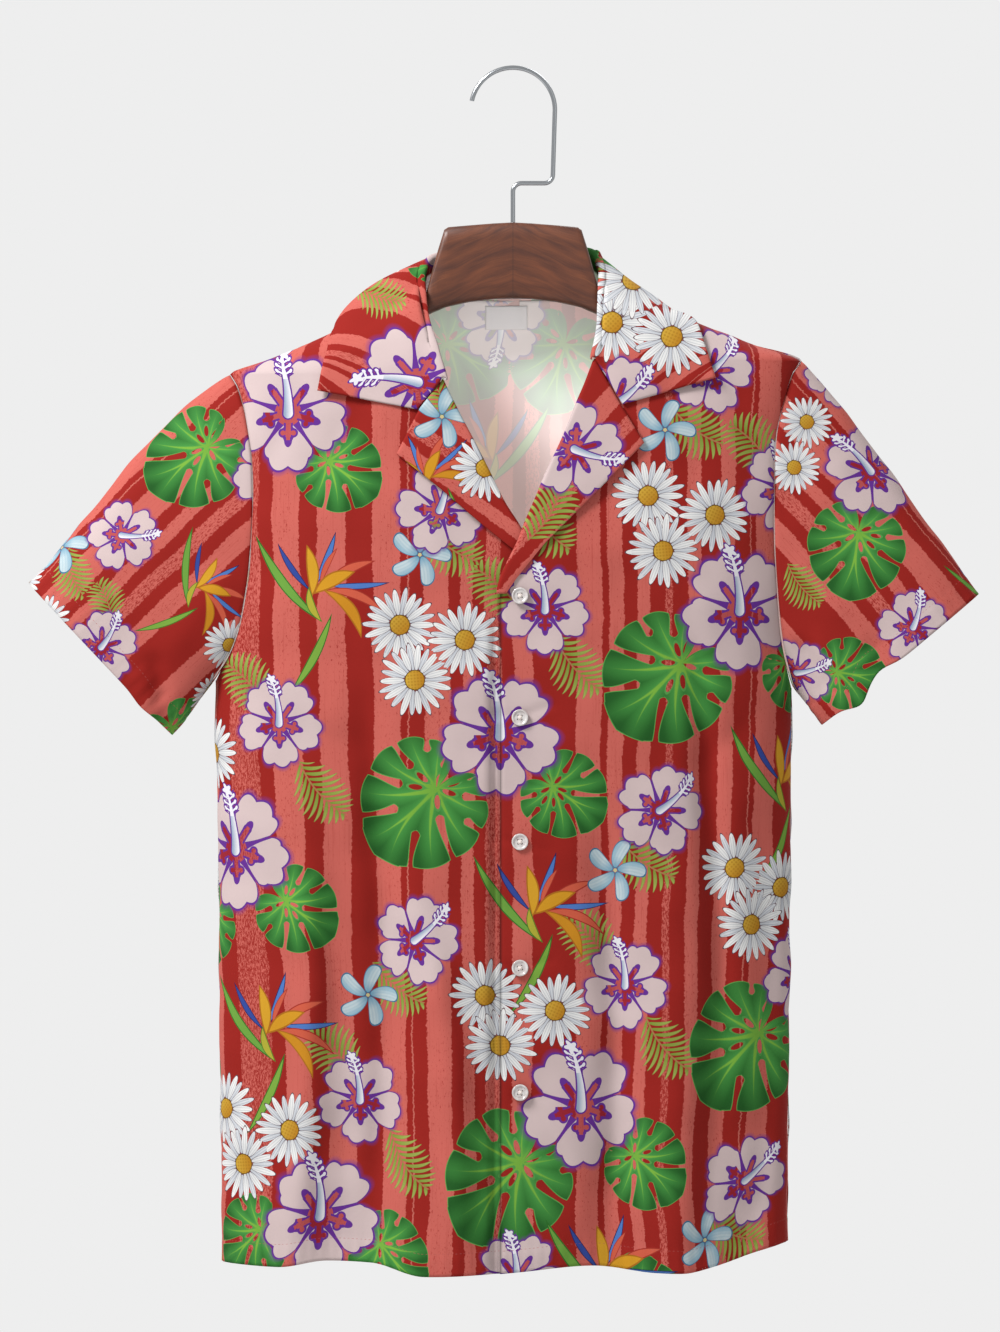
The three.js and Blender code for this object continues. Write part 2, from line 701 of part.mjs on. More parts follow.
function lapel(side) {
  const grid = [];
  for (let j = 0; j <= LAPEL_ROWS; j++) {
    const v = j / LAPEL_ROWS;
    const [x0, z0] = lapelPlace(side, v, 0);
    const [x1, z1] = lapelPlace(side, v, 1);
    const span = Math.hypot(x1 - x0, z1 - z0);
    const radius = Math.min(ROLL_RADIUS, span * 2);
    const lies = mix(1.7, LAPEL_LIES_AT, ease(v * 4));
    const row = [];
    for (let k = 0; k < ROLL_STEPS; k++) {
      const turn = -Math.PI / 2 + (Math.PI * k) / ROLL_STEPS;
      const back = (ROLL_GAP + radius * Math.cos(turn)) / span;
      const out = mix(-WALL / 2, lies, (1 + Math.sin(turn)) / 2);
      row.push(onFront(side, x0 - (x1 - x0) * back, z0 - (z1 - z0) * back, out));
    }
    for (let i = 0; i <= LAPEL_COLUMNS; i++) {
      const [x, z] = lapelPlace(side, v, i);
      row.push(onFront(side, x, z, lies));
    }
    grid.push(row);
  }
  return wallAbout(grid, WALL);
}

// How far a point lies outside the body's surface, and which way is out
function outside(p) {
  const value = (x, y, z) => {
    const side = x < 0 ? RIGHT : LEFT;
    const face = y < 0 ? FRONT : BACK;
    const beyond = Math.max(0, z - SIDE_LINE[side][0].z) * 2.2;
    const width = Math.max(8, halfWidth(side, z) - beyond);
    return (Math.abs(x) / width) ** SIDE_ROUNDING + (Math.abs(y) / depth(face, z)) ** FACE_ROUNDING - 1;
  };
  const step = 0.5;
  const slope = vector(
    value(p.x + step, p.y, p.z) - value(p.x - step, p.y, p.z),
    value(p.x, p.y + step, p.z) - value(p.x, p.y - step, p.z),
    value(p.x, p.y, p.z + step) - value(p.x, p.y, p.z - step),
  ).divideScalar(2 * step);
  const steep = Math.max(1e-4, slope.length());
  return { distance: value(p.x, p.y, p.z) / steep, out: slope.divideScalar(steep) };
}

function keptClear(p, clearance) {
  for (let k = 0; k < 4; k++) {
    const { distance, out } = outside(p);
    if (distance < clearance) p.addScaledVector(out, (clearance - distance) * 0.8);
  }
  return p;
}

// One section of the collar at a place between its table's rows
function collarSection(side, place) {
  const rows = COLLAR[side].map((row, i) => ({
    i,
    crown: row.crown,
    ...Object.fromEntries(
      ["seam", "fold", "edge"].flatMap((name) => row[name].map((value, k) => [name + k, value])),
    ),
  }));
  const get = (name) => vector(...[0, 1, 2].map((k) => read(rows, "i", name + k, place)));
  return { seam: get("seam"), fold: get("fold"), edge: get("edge"), crown: read(rows, "i", "crown", place) };
}

function collarRow(side, place) {
  const { seam, fold, edge, crown } = collarSection(side, place);
  const over = edge.clone().sub(fold).setZ(0).normalize();
  const up = vector(0, 0, 1);
  const radius = ROLL_RADIUS + 0.4;
  const inside = fold.clone().addScaledVector(over, -radius);
  const outsideStart = fold.clone().addScaledVector(over, radius);
  const row = [];
  for (let k = 0; k <= STAND_STEPS; k++) {
    const low = seam.clone();
    row.push(low.lerp(inside.clone().addScaledVector(up, -radius), k / (STAND_STEPS + 0.5)));
  }
  for (let k = 1; k < ROLL_STEPS; k++) {
    const turn = Math.PI * (1 - k / ROLL_STEPS);
    row.push(
      fold
        .clone()
        .addScaledVector(over, radius * Math.cos(turn))
        .addScaledVector(up, radius * (Math.sin(turn) - 1)),
    );
  }
  const notch = LAPEL[side].notch;
  const ended = Math.max(0, 1 - place / NOTCH_FADE);
  for (let k = 0; k <= FALL_STEPS; k++) {
    const t = k / FALL_STEPS;
    const p = outsideStart.clone().addScaledVector(up, -radius).lerp(edge, t);
    const bow = p.clone().sub(vector(p.x * 0.35, p.y, -230)).normalize();
    p.addScaledVector(bow, crown * 4 * t * (1 - t));
    const bend = k <= NOTCH_STEP ? k / NOTCH_STEP : 1 - (k - NOTCH_STEP) / (FALL_STEPS - NOTCH_STEP);
    const straightZ = mix(fold.z, edge.z, NOTCH_STEP / FALL_STEPS);
    const straightX = mix(fold.x, edge.x, NOTCH_STEP / FALL_STEPS);
    p.z += bend * ended * (notch[1] + GORGE_GAP - straightZ);
    p.x += bend * ended * (notch[0] - straightX);
    const lift = side === LEFT ? 0.6 : 0;
    row.push(keptClear(p, COLLAR_CLEARANCE + lift));
  }
  return row;
}

function collar() {
  const grid = [];
  const last = COLLAR[RIGHT].length - 1;
  for (let j = 0; j <= COLLAR_STEPS; j++) grid.push(collarRow(RIGHT, (last * j) / COLLAR_STEPS));
  for (let j = COLLAR_STEPS - 1; j >= 0; j--) grid.push(collarRow(LEFT, (last * j) / COLLAR_STEPS));
  return wallAbout(grid, DOUBLE_WALL);
}

// Small pieces

const wasm = await Module();
wasm.setup();

function solidOf(geometry) {
  const bare = (geometry.index ? geometry.toNonIndexed() : geometry).clone();
  bare.deleteAttribute("normal");
  bare.deleteAttribute("uv");
  const merged = mergeVertices(bare, 1e-3);
  const mesh = new wasm.Mesh({
    numProp: 3,
    vertProperties: merged.getAttribute("position").array,
    triVerts: new Uint32Array(merged.index.array),
  });
  return new wasm.Manifold(mesh);
}

function geometryOf(solid) {
  const { vertProperties, triVerts } = solid.getMesh();
  const geometry = new THREE.BufferGeometry();
  geometry.setAttribute("position", new THREE.BufferAttribute(vertProperties, 3));
  geometry.setIndex(new THREE.BufferAttribute(triVerts, 1));
  return geometry;
}

// A dished shirt button with four holes, its back on the origin and its face along +Y
function buttonGeometry() {
  const profile = [
    [0, 0],
    [BUTTON_RADIUS - 0.9, 0],
    [BUTTON_RADIUS, 1],
    [BUTTON_RADIUS - 0.5, BUTTON_HEIGHT],
    [BUTTON_RADIUS - BUTTON_RIM, BUTTON_HEIGHT],
    [BUTTON_RADIUS - BUTTON_RIM - 0.8, BUTTON_DISH],
    [0, BUTTON_DISH],
  ].map(([r, y]) => new THREE.Vector2(r, y));
  let solid = solidOf(new THREE.LatheGeometry(profile, 12));
  for (const [sx, sz] of [[1, 1], [1, -1], [-1, 1], [-1, -1]]) {
    const hole = new THREE.CylinderGeometry(BUTTON_HOLE_RADIUS, BUTTON_HOLE_RADIUS, BUTTON_HEIGHT * 2, 6);
    hole.translate(sx * BUTTON_HOLE_OFFSET, BUTTON_HEIGHT / 2, sz * BUTTON_HOLE_OFFSET);
    solid = solid.subtract(solidOf(hole));
  }
  return geometryOf(solid);
}

// The label follows the inside of the back, a seam gap off the cloth
function labelGeometry() {
  const layer = (out) => {
    const grid = [];
    for (let j = 0; j <= LABEL.rows; j++) {
      const z = mix(LABEL.foot, LABEL.top, j / LABEL.rows);
      const row = [];
      for (let i = 0; i <= LABEL.columns; i++) {
        const x = mix(LABEL.low, LABEL.high, i / LABEL.columns);
        row.push(panelPoint(BACK, 0, angleAt(BACK, x, z), z, out));
      }
      grid.push(row);
    }
    return grid;
  };
  const near = -WALL - SEAM_GAP - 0.2;
  return wall(layer(near), layer(near - LABEL.thickness));
}

// Hanger

function hookGeometry() {
  const centre = -(HOOK_RADIUS - WIRE_RADIUS);
  const points = [];
  for (let turn = HOOK_TIP_ANGLE; turn >= 0; turn -= 14) {
    const a = THREE.MathUtils.degToRad(turn);
    points.push(vector(HOOK_RADIUS * Math.cos(a), 0, centre + HOOK_RADIUS * Math.sin(a)));
  }
  const [footX, footZ] = HOOK_BACK_FOOT;
  points.push(vector(HOOK_RADIUS + 0.2, 0, mix(centre, footZ, 0.5)));
  points.push(vector(footX, 0, footZ));
  for (const turn of [20, 70]) {
    const a = THREE.MathUtils.degToRad(turn);
    points.push(
      vector(
        footX - HOOK_BEND + HOOK_BEND * Math.cos(a),
        0,
        HOOK_STEP_LEVEL + HOOK_BEND - HOOK_BEND * Math.sin(a),
      ),
    );
  }
  points.push(vector(footX / 2 + 1, 0, HOOK_STEP_LEVEL));
  for (const turn of [70, 20]) {
    const a = THREE.MathUtils.degToRad(turn);
    points.push(
      vector(HOOK_BEND - HOOK_BEND * Math.cos(a), 0, HOOK_STEP_LEVEL - HOOK_BEND + HOOK_BEND * Math.sin(a)),
    );
  }
  const foot = NECK_BLOCK[0].top + SEAM_GAP;
  points.push(vector(0, 0, mix(HOOK_STEP_LEVEL - HOOK_BEND, foot, 0.45)));
  points.push(vector(0, 0, foot));
  const section = new THREE.Shape();
  for (let k = 0; k < WIRE_SIDES; k++) {
    const a = (2 * Math.PI * k) / WIRE_SIDES;
    const [x, y] = [WIRE_RADIUS * Math.cos(a), WIRE_RADIUS * Math.sin(a)];
    if (k) section.lineTo(x, y);
    else section.moveTo(x, y);
  }
  const path = new THREE.CatmullRomCurve3(points, false, "centripetal");
  return new THREE.ExtrudeGeometry(section, { steps: WIRE_STEPS, extrudePath: path });
}

function hangerLoop(side, { x, top, bottom, half }) {
  const points = [];
  for (let k = 0; k < HANGER_POINTS; k++) {
    const a = (2 * Math.PI * k) / HANGER_POINTS;
    const rounded = (v) => Math.sign(v) * Math.abs(v) ** (2 / HANGER_ROUNDING);
    const y = half * rounded(Math.cos(a));
    points.push(vector(side * x, y, mix(bottom, top, 0.5 + 0.5 * rounded(Math.sin(a)))));
  }
  return points;
}

// An arm's section, let down from the shoulder line until it is clear under the cloth
function armLoop(side, x) {
  const half = read(ARM_HEIGHT, "x", "half", x);
  const height = read(ARM_HEIGHT, "x", "height", x);
  const clear = (points) => points.every((p) => outside(p).distance < -WALL - ARM_UNDER_CLOTH);
  const shoulder = SIDE_LINE[side].filter((row) => row.z > -231);
  let top = read(shoulder, "x", "z", x) - WALL - ARM_UNDER_CLOTH;
  while (!clear(hangerLoop(side, { x, top, bottom: top - height, half }))) top -= ARM_LOWERING;
  return hangerLoop(side, { x, top, bottom: top - height, half });
}

// One half of the hanger from the middle out: the neck block, then the arm
function hangerHalf(side) {
  const loops = NECK_BLOCK.map((row) => hangerLoop(side, row));
  for (let k = 0; k <= ARM_STATIONS; k++)
    loops.push(armLoop(side, mix(ARM_START, ARM_END, Math.sin(((k / ARM_STATIONS) * Math.PI) / 2))));
  return loops;
}

function hangerGeometry() {
  const loops = [...hangerHalf(RIGHT).reverse(), ...hangerHalf(LEFT).slice(1)];
  const points = loops.flat();
  const faces = [];
  const at = (j, i) => j * HANGER_POINTS + (i % HANGER_POINTS);
  for (let j = 0; j < loops.length - 1; j++)
    for (let i = 0; i < HANGER_POINTS; i++)
      faces.push(at(j, i), at(j, i + 1), at(j + 1, i + 1), at(j, i), at(j + 1, i + 1), at(j + 1, i));
  for (let i = 1; i < HANGER_POINTS - 1; i++) {
    faces.push(at(0, 0), at(0, i + 1), at(0, i));
    faces.push(at(loops.length - 1, 0), at(loops.length - 1, i), at(loops.length - 1, i + 1));
  }
  let whole = 0;
  for (let k = 0; k < faces.length; k += 3)
    whole += volumeUnder(points[faces[k]], points[faces[k + 1]], points[faces[k + 2]]);
  return closedGeometry(points, faces, whole < 0);
}

// The whole object

const printedCloth = new THREE.MeshStandardMaterial({ color: 0xc2413a, roughness: 0.75, metalness: 0 });
const pearl = new THREE.MeshStandardMaterial({ color: 0xe9e6e0, roughness: 0.25, metalness: 0 });
const labelCloth = new THREE.MeshStandardMaterial({ color: 0xf2f2f2, roughness: 0.6, metalness: 0 });
const walnut = new THREE.MeshStandardMaterial({ color: 0x6b3722, roughness: 0.4, metalness: 0 });
const steelWire = new THREE.MeshStandardMaterial({ color: 0xb9bbbd, roughness: 0.25, metalness: 1 });

const shirt = new THREE.Group();

function add(name, geometry, material, parent = shirt) {
  const mesh = new THREE.Mesh(geometry, material);
  mesh.name = name;
  parent.add(mesh);
  return mesh;
}

const sides = { right: RIGHT, left: LEFT };
const mitres = {};
for (const [name, side] of Object.entries(sides)) {
  const rings = sleeveRings(side);
  const steps = rings[0].map((p, i) => rings[1][i].clone().sub(p));
  mitres[side] = mitredRing(side, steps);
  add(`sleeve_${name}`, sleeve(side, rings, mitres[side]), printedCloth);
  add(`front_${name}`, frontPanel(side, mitres[side]), printedCloth);
  add(`lapel_${name}`, lapel(side), printedCloth);
}
add("back", backPanel(mitres[RIGHT], mitres[LEFT]), printedCloth);
add("collar", collar(), printedCloth);
add("neck_label", labelGeometry(), labelCloth);

const button = buttonGeometry();
BUTTON_LEVELS.forEach((z, i) => {
  const mesh = add(`button_${i + 1}`, button.clone(), pearl);
  const angle = angleAt(FRONT, BUTTON_X, z);
  const out = bodyNormal(angle, z);
  mesh.position.copy(onFront(LEFT, BUTTON_X, z, BUTTON_OFF_CLOTH));
  mesh.quaternion.setFromUnitVectors(vector(0, 1, 0), out);
});

const hanger = new THREE.Group();
shirt.add(hanger);
add("hanger_wood", hangerGeometry(), walnut, hanger);
add("hanger_hook", hookGeometry(), steelWire, hanger);

export default shirt;
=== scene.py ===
"""A short-sleeved camp-collar shirt with a tropical print, on a wooden hanger with a wire hook.

Lengths in the tables are millimetres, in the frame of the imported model: the front faces -Y, the wearer's
right is at -X and the origin is the inside top of the hook. Meshes are written in metres.
"""

import math

import bpy
import numpy as np
from mathutils import Matrix, Vector


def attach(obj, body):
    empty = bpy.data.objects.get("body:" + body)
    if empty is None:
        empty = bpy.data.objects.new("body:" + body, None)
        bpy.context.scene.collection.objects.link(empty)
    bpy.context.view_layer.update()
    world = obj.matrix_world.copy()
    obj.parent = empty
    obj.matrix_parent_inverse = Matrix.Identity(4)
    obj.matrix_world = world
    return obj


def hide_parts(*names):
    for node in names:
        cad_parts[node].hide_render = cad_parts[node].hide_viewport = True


MM = 0.001
RIGHT, LEFT = -1, 1
FRONT, BACK = -1, 1

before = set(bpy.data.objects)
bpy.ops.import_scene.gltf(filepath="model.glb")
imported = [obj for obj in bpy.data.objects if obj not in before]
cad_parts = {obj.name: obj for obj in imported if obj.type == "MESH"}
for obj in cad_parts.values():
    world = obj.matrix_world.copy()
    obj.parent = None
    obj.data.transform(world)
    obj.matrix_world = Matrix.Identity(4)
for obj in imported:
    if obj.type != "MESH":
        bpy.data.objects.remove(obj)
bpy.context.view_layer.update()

# Camera: the photograph is level and square on, 0.75 mm a pixel
PIXEL = 0.75
PHOTO_SIZE = (1000, 1332)
PHOTO_ORIGIN = (513, 66)
CAMERA_AWAY = 6000.0
CAMERA_SENSOR = 36.0
FOCUS_DEPTH = -40.0


def photo_x(px):
    return (px - PHOTO_ORIGIN[0]) * PIXEL


def photo_z(py):
    return -(py - PHOTO_ORIGIN[1]) * PIXEL


def make_camera():
    data = bpy.data.cameras.new("front_camera")
    data.sensor_fit = "VERTICAL"
    data.sensor_height = CAMERA_SENSOR
    data.lens = CAMERA_SENSOR * (CAMERA_AWAY + FOCUS_DEPTH) / (PHOTO_SIZE[1] * PIXEL)
    data.clip_end = 100
    camera = bpy.data.objects.new("front_camera", data)
    bpy.context.scene.collection.objects.link(camera)
    camera.location = (
        photo_x(PHOTO_SIZE[0] / 2) * MM,
        -CAMERA_AWAY * MM,
        photo_z(PHOTO_SIZE[1] / 2) * MM,
    )
    camera.rotation_euler = (math.pi / 2, 0, 0)
    bpy.context.scene.camera = camera


# Body: how square its level sections are, and its outline, as in the solids
SIDE_ROUNDING = 3.0
FACE_ROUNDING = 2.2

# z and half-width, down the shoulder line to its tip and then down the side
SIDE_LINE = {
    RIGHT: [
        (-168, 76.5), (-183, 105), (-196.5, 132.5), (-210, 164), (-221, 190), (-230, 213.7), (-300, 219),
        (-380, 223), (-461, 225), (-620, 222.5), (-760, 221), (-899, 220),
    ],
    LEFT: [
        (-168, 76.5), (-179, 105), (-188, 131), (-199, 160), (-209, 187), (-220, 218), (-300, 215),
        (-380, 212.5), (-467, 211), (-620, 209.5), (-760, 208.5), (-899, 207.5),
    ],
}

# z, then how far the front and the back stand from the middle plane
DEPTH = [
    (-160, 22, 24), (-180, 28, 29), (-205, 34, 34), (-240, 41, 38), (-300, 48, 43), (-380, 53, 46),
    (-470, 54, 47), (-640, 51, 46), (-780, 50, 46), (-900, 52, 48),
]

# Upright ridges and troughs: face, x, lean, top, foot, width, height
FOLDS = [
    (FRONT, -176, 10, -470, -900, 26, 5), (FRONT, -118, -8, -330, -860, 30, -9),
    (FRONT, -58, 6, -600, -905, 34, 8), (FRONT, 66, 6, -620, -905, 32, -7),
    (FRONT, 118, 10, -420, -900, 26, 9), (FRONT, 160, 6, -520, -880, 20, -7),
    (BACK, -150, 8, -400, -880, 30, -9), (BACK, -82, 6, -440, -900, 28, 8),
    (BACK, -10, -6, -360, -890, 34, -8), (BACK, 66, -4, -480, -900, 28, 7),
    (BACK, 136, -8, -400, -880, 28, -8),
]

HEM_LEVEL = -899
HEM_REACH = 150
# x, then the shift of the front's and the back's lowest edge
HEM = [
    (-225, 0.3, 0.3), (-177, -1.8, -1.5), (-140, 3.1, 0.5), (-106, 1.7, 3), (-66, -8, -2), (-11, -6, 2),
    (58, -0.3, -3), (107, -5.5, 0), (127, -6, 3), (153, -0.9, 6), (181, 8.3, 11), (211, 17, 17),
]

# z and x down each armhole seam
ARMHOLE = {
    RIGHT: [
        (-230, 213.7), (-240, 208), (-264, 201), (-295, 196.5), (-328, 195.7), (-370, 198), (-415, 204.7),
        (-440, 213), (-455, 221.5), (-461, 225),
    ],
    LEFT: [
        (-220, 218), (-231, 210.5), (-258, 202), (-278, 198.4), (-310, 196.5), (-355, 197), (-399, 199.5),
        (-434, 203.5), (-458, 208.6), (-467, 211),
    ],
}

# z and x up the button edge, the roll line of the lapel and the neckline
FRONT_EDGE = {
    RIGHT: [
        (-910, 20.5), (-386, 20.5), (-355, 6.5), (-329, -8.3), (-279, -33.8), (-238, -54), (-215, -64),
        (-192, -71.5), (-176, -74), (-168, -74.5),
    ],
    LEFT: [
        (-910, -9.8), (-400, -9.8), (-355, 7.5), (-316.5, 23.3), (-291, 34), (-260, 47.5), (-223, 62.3),
        (-205, 68.5), (-188, 72.5), (-176, 74), (-168, 74.5),
    ],
}
NECK_DIP = 5
# How the dip of the back's neckline grows in the rows above the shoulder tips
NECK_DIP_GROWS, NECK_DIP_START = 0.7, 0.3

# How far the shade where the fronts lap reaches
LAP_SHADE = 2.4
# The under front tucks in beside the upper one's edge: x, width, depth
TUCK = (-13, 4.2, 4.6)
TUCK_FADE = 40
# The turned edge of each front lies lower: by how much, within what reach
EDGE_DROP, EDGE_SOFT = 0.5, 1.1
LAP_LIFT = {RIGHT: -1.2, LEFT: 1.4}
LAP_LIFT_AT_BREAK = {RIGHT: -2.6, LEFT: 3.4}
LAP_FULL_TO = {RIGHT: -16, LEFT: 26}
LAP_FADE = 50
BREAK_LEVEL = -372
BREAK_REACH = 70

# Cloth thickness, hems and seams
CLOTH = 0.7
HEM_EXTRA = 0.5
HEM_DEEP = 17
HEM_STANDS_OUT = 0.25
HEM_FADE = 1.5
SEAM_GAP = 0.3
SEAM_DIP = 0.6
SEAM_SOFT = 2.6

# Rows and columns
SIDE_ROWS = 165
ARMHOLE_ROWS = 84
SHOULDER_ROWS = 26
FRONT_COLUMNS = 92
BACK_COLUMNS = 160
ROW_SAMPLES = 420

# Creases: face, x and z of one end, x and z of the other, width, height
CREASES = [
    (FRONT, -150, -330, -110, -250, 13, -1.6), (FRONT, -185, -300, -160, -255, 9, -1.4),
    (FRONT, -90, -470, -70, -380, 20, -1.4), (FRONT, -190, -470, -120, -520, 12, -1.8),
    (FRONT, -196, -500, -150, -580, 12, 1.5), (FRONT, 150, -310, 110, -230, 12, -1.5),
    (FRONT, 185, -300, 168, -240, 9, -1.5), (FRONT, 190, -480, 130, -530, 11, -1.8),
    (FRONT, 192, -510, 150, -600, 12, 1.5), (FRONT, 80, -430, 62, -350, 16, 1.2),
    (FRONT, -140, -640, -128, -870, 9, -1.5), (FRONT, -30, -700, -24, -880, 12, -1.6),
    (FRONT, 40, -760, 48, -890, 12, 1.6), (FRONT, 138, -640, 146, -880, 9, 2.2),
    (FRONT, 100, -560, 92, -700, 16, -1.3), (FRONT, -112, -470, -104, -900, 14, -9),
    (FRONT, -158, -560, -166, -900, 12, 6), (FRONT, 137, -440, 140, -900, 10, -9),
    (FRONT, 186, -560, 180, -900, 12, -8), (FRONT, -66, -640, -40, -900, 14, 6),
    (FRONT, 62, -560, 72, -900, 13, -7), (FRONT, -20, -486, 4, -489, 3.2, -0.7),
    (FRONT, -24, -497, 2, -490, 2.6, 0.6), (FRONT, 8, -487, 34, -479, 3, -0.8),
    (FRONT, -18, -579, 4, -582, 3, -0.7), (FRONT, 8, -583, 30, -590, 3, -0.6),
    (FRONT, -16, -673, 4, -676, 3, -0.6), (FRONT, 8, -676, 32, -670, 3, -0.7),
    (FRONT, 8, -769, 30, -776, 3, -0.6), (BACK, -150, -300, -110, -220, 14, -1.6),
    (BACK, 150, -300, 112, -216, 14, -1.6), (BACK, -186, -470, -120, -530, 12, -1.8),
    (BACK, 182, -480, 120, -540, 12, -1.8), (BACK, -40, -240, 40, -236, 20, -1.5),
    (BACK, -100, -620, -112, -860, 10, -2), (BACK, 30, -600, 24, -870, 12, 2),
    (BACK, 100, -660, 108, -880, 10, 2),
]


class Line:
    """A smooth line through a table's points that never overshoots them."""

    def __init__(self, places, values):
        order = np.argsort(places)
        self.places = np.array(places, float)[order]
        self.values = np.array(values, float)[order]
        width = np.diff(self.places)
        slope = np.diff(self.values) / width
        tangent = np.empty(len(self.places))
        tangent[0], tangent[-1] = slope[0], slope[-1]
        before, after = slope[:-1], slope[1:]
        total = before + after
        total[total == 0] = 1
        tangent[1:-1] = np.where(before * after > 0, 2 * before * after / total, 0)
        self.tangent = tangent

    def __call__(self, at):
        at = np.clip(np.asarray(at, float), self.places[0], self.places[-1])
        i = np.clip(np.searchsorted(self.places, at, "right") - 1, 0, len(self.places) - 2)
        width = self.places[i + 1] - self.places[i]
        t = (at - self.places[i]) / width
        return (
            self.values[i] * (1 + 2 * t) * (1 - t) ** 2
            + self.tangent[i] * width * t * (1 - t) ** 2
            + self.values[i + 1] * t * t * (3 - 2 * t)
            - self.tangent[i + 1] * width * t * t * (1 - t)
        )


def table_line(rows, column=1):
    return Line([row[0] for row in rows], [row[column] for row in rows])


SIDE = {side: table_line(SIDE_LINE[side]) for side in (RIGHT, LEFT)}
HOLE = {side: table_line(ARMHOLE[side]) for side in (RIGHT, LEFT)}
EDGE = {side: table_line(FRONT_EDGE[side]) for side in (RIGHT, LEFT)}
STANDS = {FRONT: table_line(DEPTH, 1), BACK: table_line(DEPTH, 2)}
HEM_SHIFT = {FRONT: table_line(HEM, 1), BACK: table_line(HEM, 2)}


def ease(t):
    t = np.clip(t, 0, 1)
    return t * t * (3 - 2 * t)


def mix(a, b, t):
    return a + (b - a) * t


def unit(v):
    return v / np.maximum(1e-9, np.linalg.norm(v, axis=-1, keepdims=True))


# How far a crease bows for its length, and the share of it that each end fades over
CREASE_BOW = 0.12
CREASE_FADE = 0.35
CREASE_START = 0.3


def fold_height(face, x, z, folds=FOLDS, creases=CREASES):
    total = np.zeros_like(x)
    for on, at, lean, top, foot, width, height in folds:
        if on == face:
            down = (top - z) / (top - foot)
            total += height * ease(down) * np.exp(-(((x - at - lean * down) / width) ** 2))
    for on, xa, za, xb, zb, width, height in creases:
        if on == face:
            along = np.array([xb - xa, zb - za], float)
            length = np.hypot(*along)
            along /= length
            run = ((x - xa) * along[0] + (z - za) * along[1]) / length
            off = (x - xa) * -along[1] + (z - za) * along[0]
            bend = CREASE_BOW * length * (run - run * run)
            fade = ease(run / CREASE_FADE + CREASE_START) * ease((1 - run) / CREASE_FADE + CREASE_START)
            total += height * fade * np.exp(-(((off - bend) / width) ** 2))
    return total


def half_width(right, z):
    return np.where(right, SIDE[RIGHT](z), SIDE[LEFT](z))


def stands_out(front, x, z):
    """How far the cloth stands from the middle plane, with its folds and creases."""
    return np.where(
        front,
        STANDS[FRONT](z) + fold_height(FRONT, x, z),
        STANDS[BACK](z) + fold_height(BACK, x, z),
    )


def body_point(angle, z):
    """The body's surface at an angle about its upright axis: 0 at the wearer's left, the front above 0."""
    c, s = np.cos(angle), np.sin(angle)
    right = c < 0
    front = s > 0
    x = np.where(right, RIGHT, LEFT) * half_width(right, z) * np.abs(c) ** (2 / SIDE_ROUNDING)
    y = np.where(front, FRONT, BACK) * stands_out(front, x, z) * np.abs(s) ** (2 / FACE_ROUNDING)
    near = ease((HEM_LEVEL + HEM_REACH - z) / HEM_REACH)
    shift = near * np.where(front, HEM_SHIFT[FRONT](x), HEM_SHIFT[BACK](x))
    return np.stack([x, y, z + shift], axis=-1)


def body_normal(angle, z):
    turn, rise = 0.012, 1.0
    across = body_point(angle + turn, z) - body_point(angle - turn, z)
    up = body_point(angle, z + rise) - body_point(angle, z - rise)
    return unit(np.cross(up, across))


def angle_at(face, x, z):
    share = np.minimum(1, np.abs(x) / half_width(x < 0, z)) ** (SIDE_ROUNDING / 2)
    from_side = np.arccos(share)
    on_front = np.where(x < 0, math.pi - from_side, from_side)
    return on_front if face == FRONT else -on_front


def lap_lift(side, x, z):
    off = x - LAP_FULL_TO[side] if side == LEFT else LAP_FULL_TO[side] - x
    near = 1 - ease(off / LAP_FADE)
    at_break = 1 - ease(np.abs(z - BREAK_LEVEL) / BREAK_REACH)
    return near * mix(LAP_LIFT[side], LAP_LIFT_AT_BREAK[side], at_break)


def panel_point(face, side, angle, z, out=0.0):
    point = body_point(angle, z)
    lift = lap_lift(side, point[..., 0], z) if face == FRONT else 0
    return point + body_normal(angle, z) * np.asarray(lift + out)[..., None]


# The share of even steps in the angles round an armhole
EVEN_PART = 0.1


def turns(count):
    """Angles round an armhole's half from the tip to the underarm, a little wider apart at the ends."""
    k = np.linspace(0, 1, count + 1)
    t = (1 - EVEN_PART) * (1 - np.cos(math.pi * k)) / 2 + EVEN_PART * k
    return np.arccos(1 - 2 * t)


def side_levels(side):
    tip, underarm, neck = ARMHOLE[side][0][0], ARMHOLE[side][-1][0], SIDE_LINE[side][0][0]
    low = np.linspace(HEM_LEVEL, underarm, SIDE_ROWS + 1)[:-1]
    hole = mix(tip, underarm, (1 - np.cos(turns(ARMHOLE_ROWS)[::-1])) / 2)[:-1]
    high = np.linspace(tip, neck, SHOULDER_ROWS + 1)
    return np.concatenate([low, hole, high])


# The rows at which the armhole begins and ends
HOLE_START = SIDE_ROWS
HOLE_STOP = SIDE_ROWS + ARMHOLE_ROWS


def outer_angles(side, face, levels):
    """Where each row ends on a side: on the seam, or on the armhole."""
    seam = 0.0 if side == LEFT else face * -math.pi
    angles = angle_at(face, side * HOLE[side](levels), levels)
    rows = np.arange(len(levels))
    return np.where((rows <= HOLE_START) | (rows >= HOLE_STOP), seam, angles)


def even_rows(start, stop, levels, count):
    """Angles that share each row out evenly between its two ends."""
    share = np.linspace(0, 1, ROW_SAMPLES + 1)
    fine = start[:, None] + (stop - start)[:, None] * share
    points = body_point(fine, np.broadcast_to(levels[:, None], fine.shape))
    run = run_along(points, 1)
    wanted = np.linspace(0, 1, count + 1)
    return np.array([np.interp(wanted * r[-1], r, f) for r, f in zip(run, fine)])


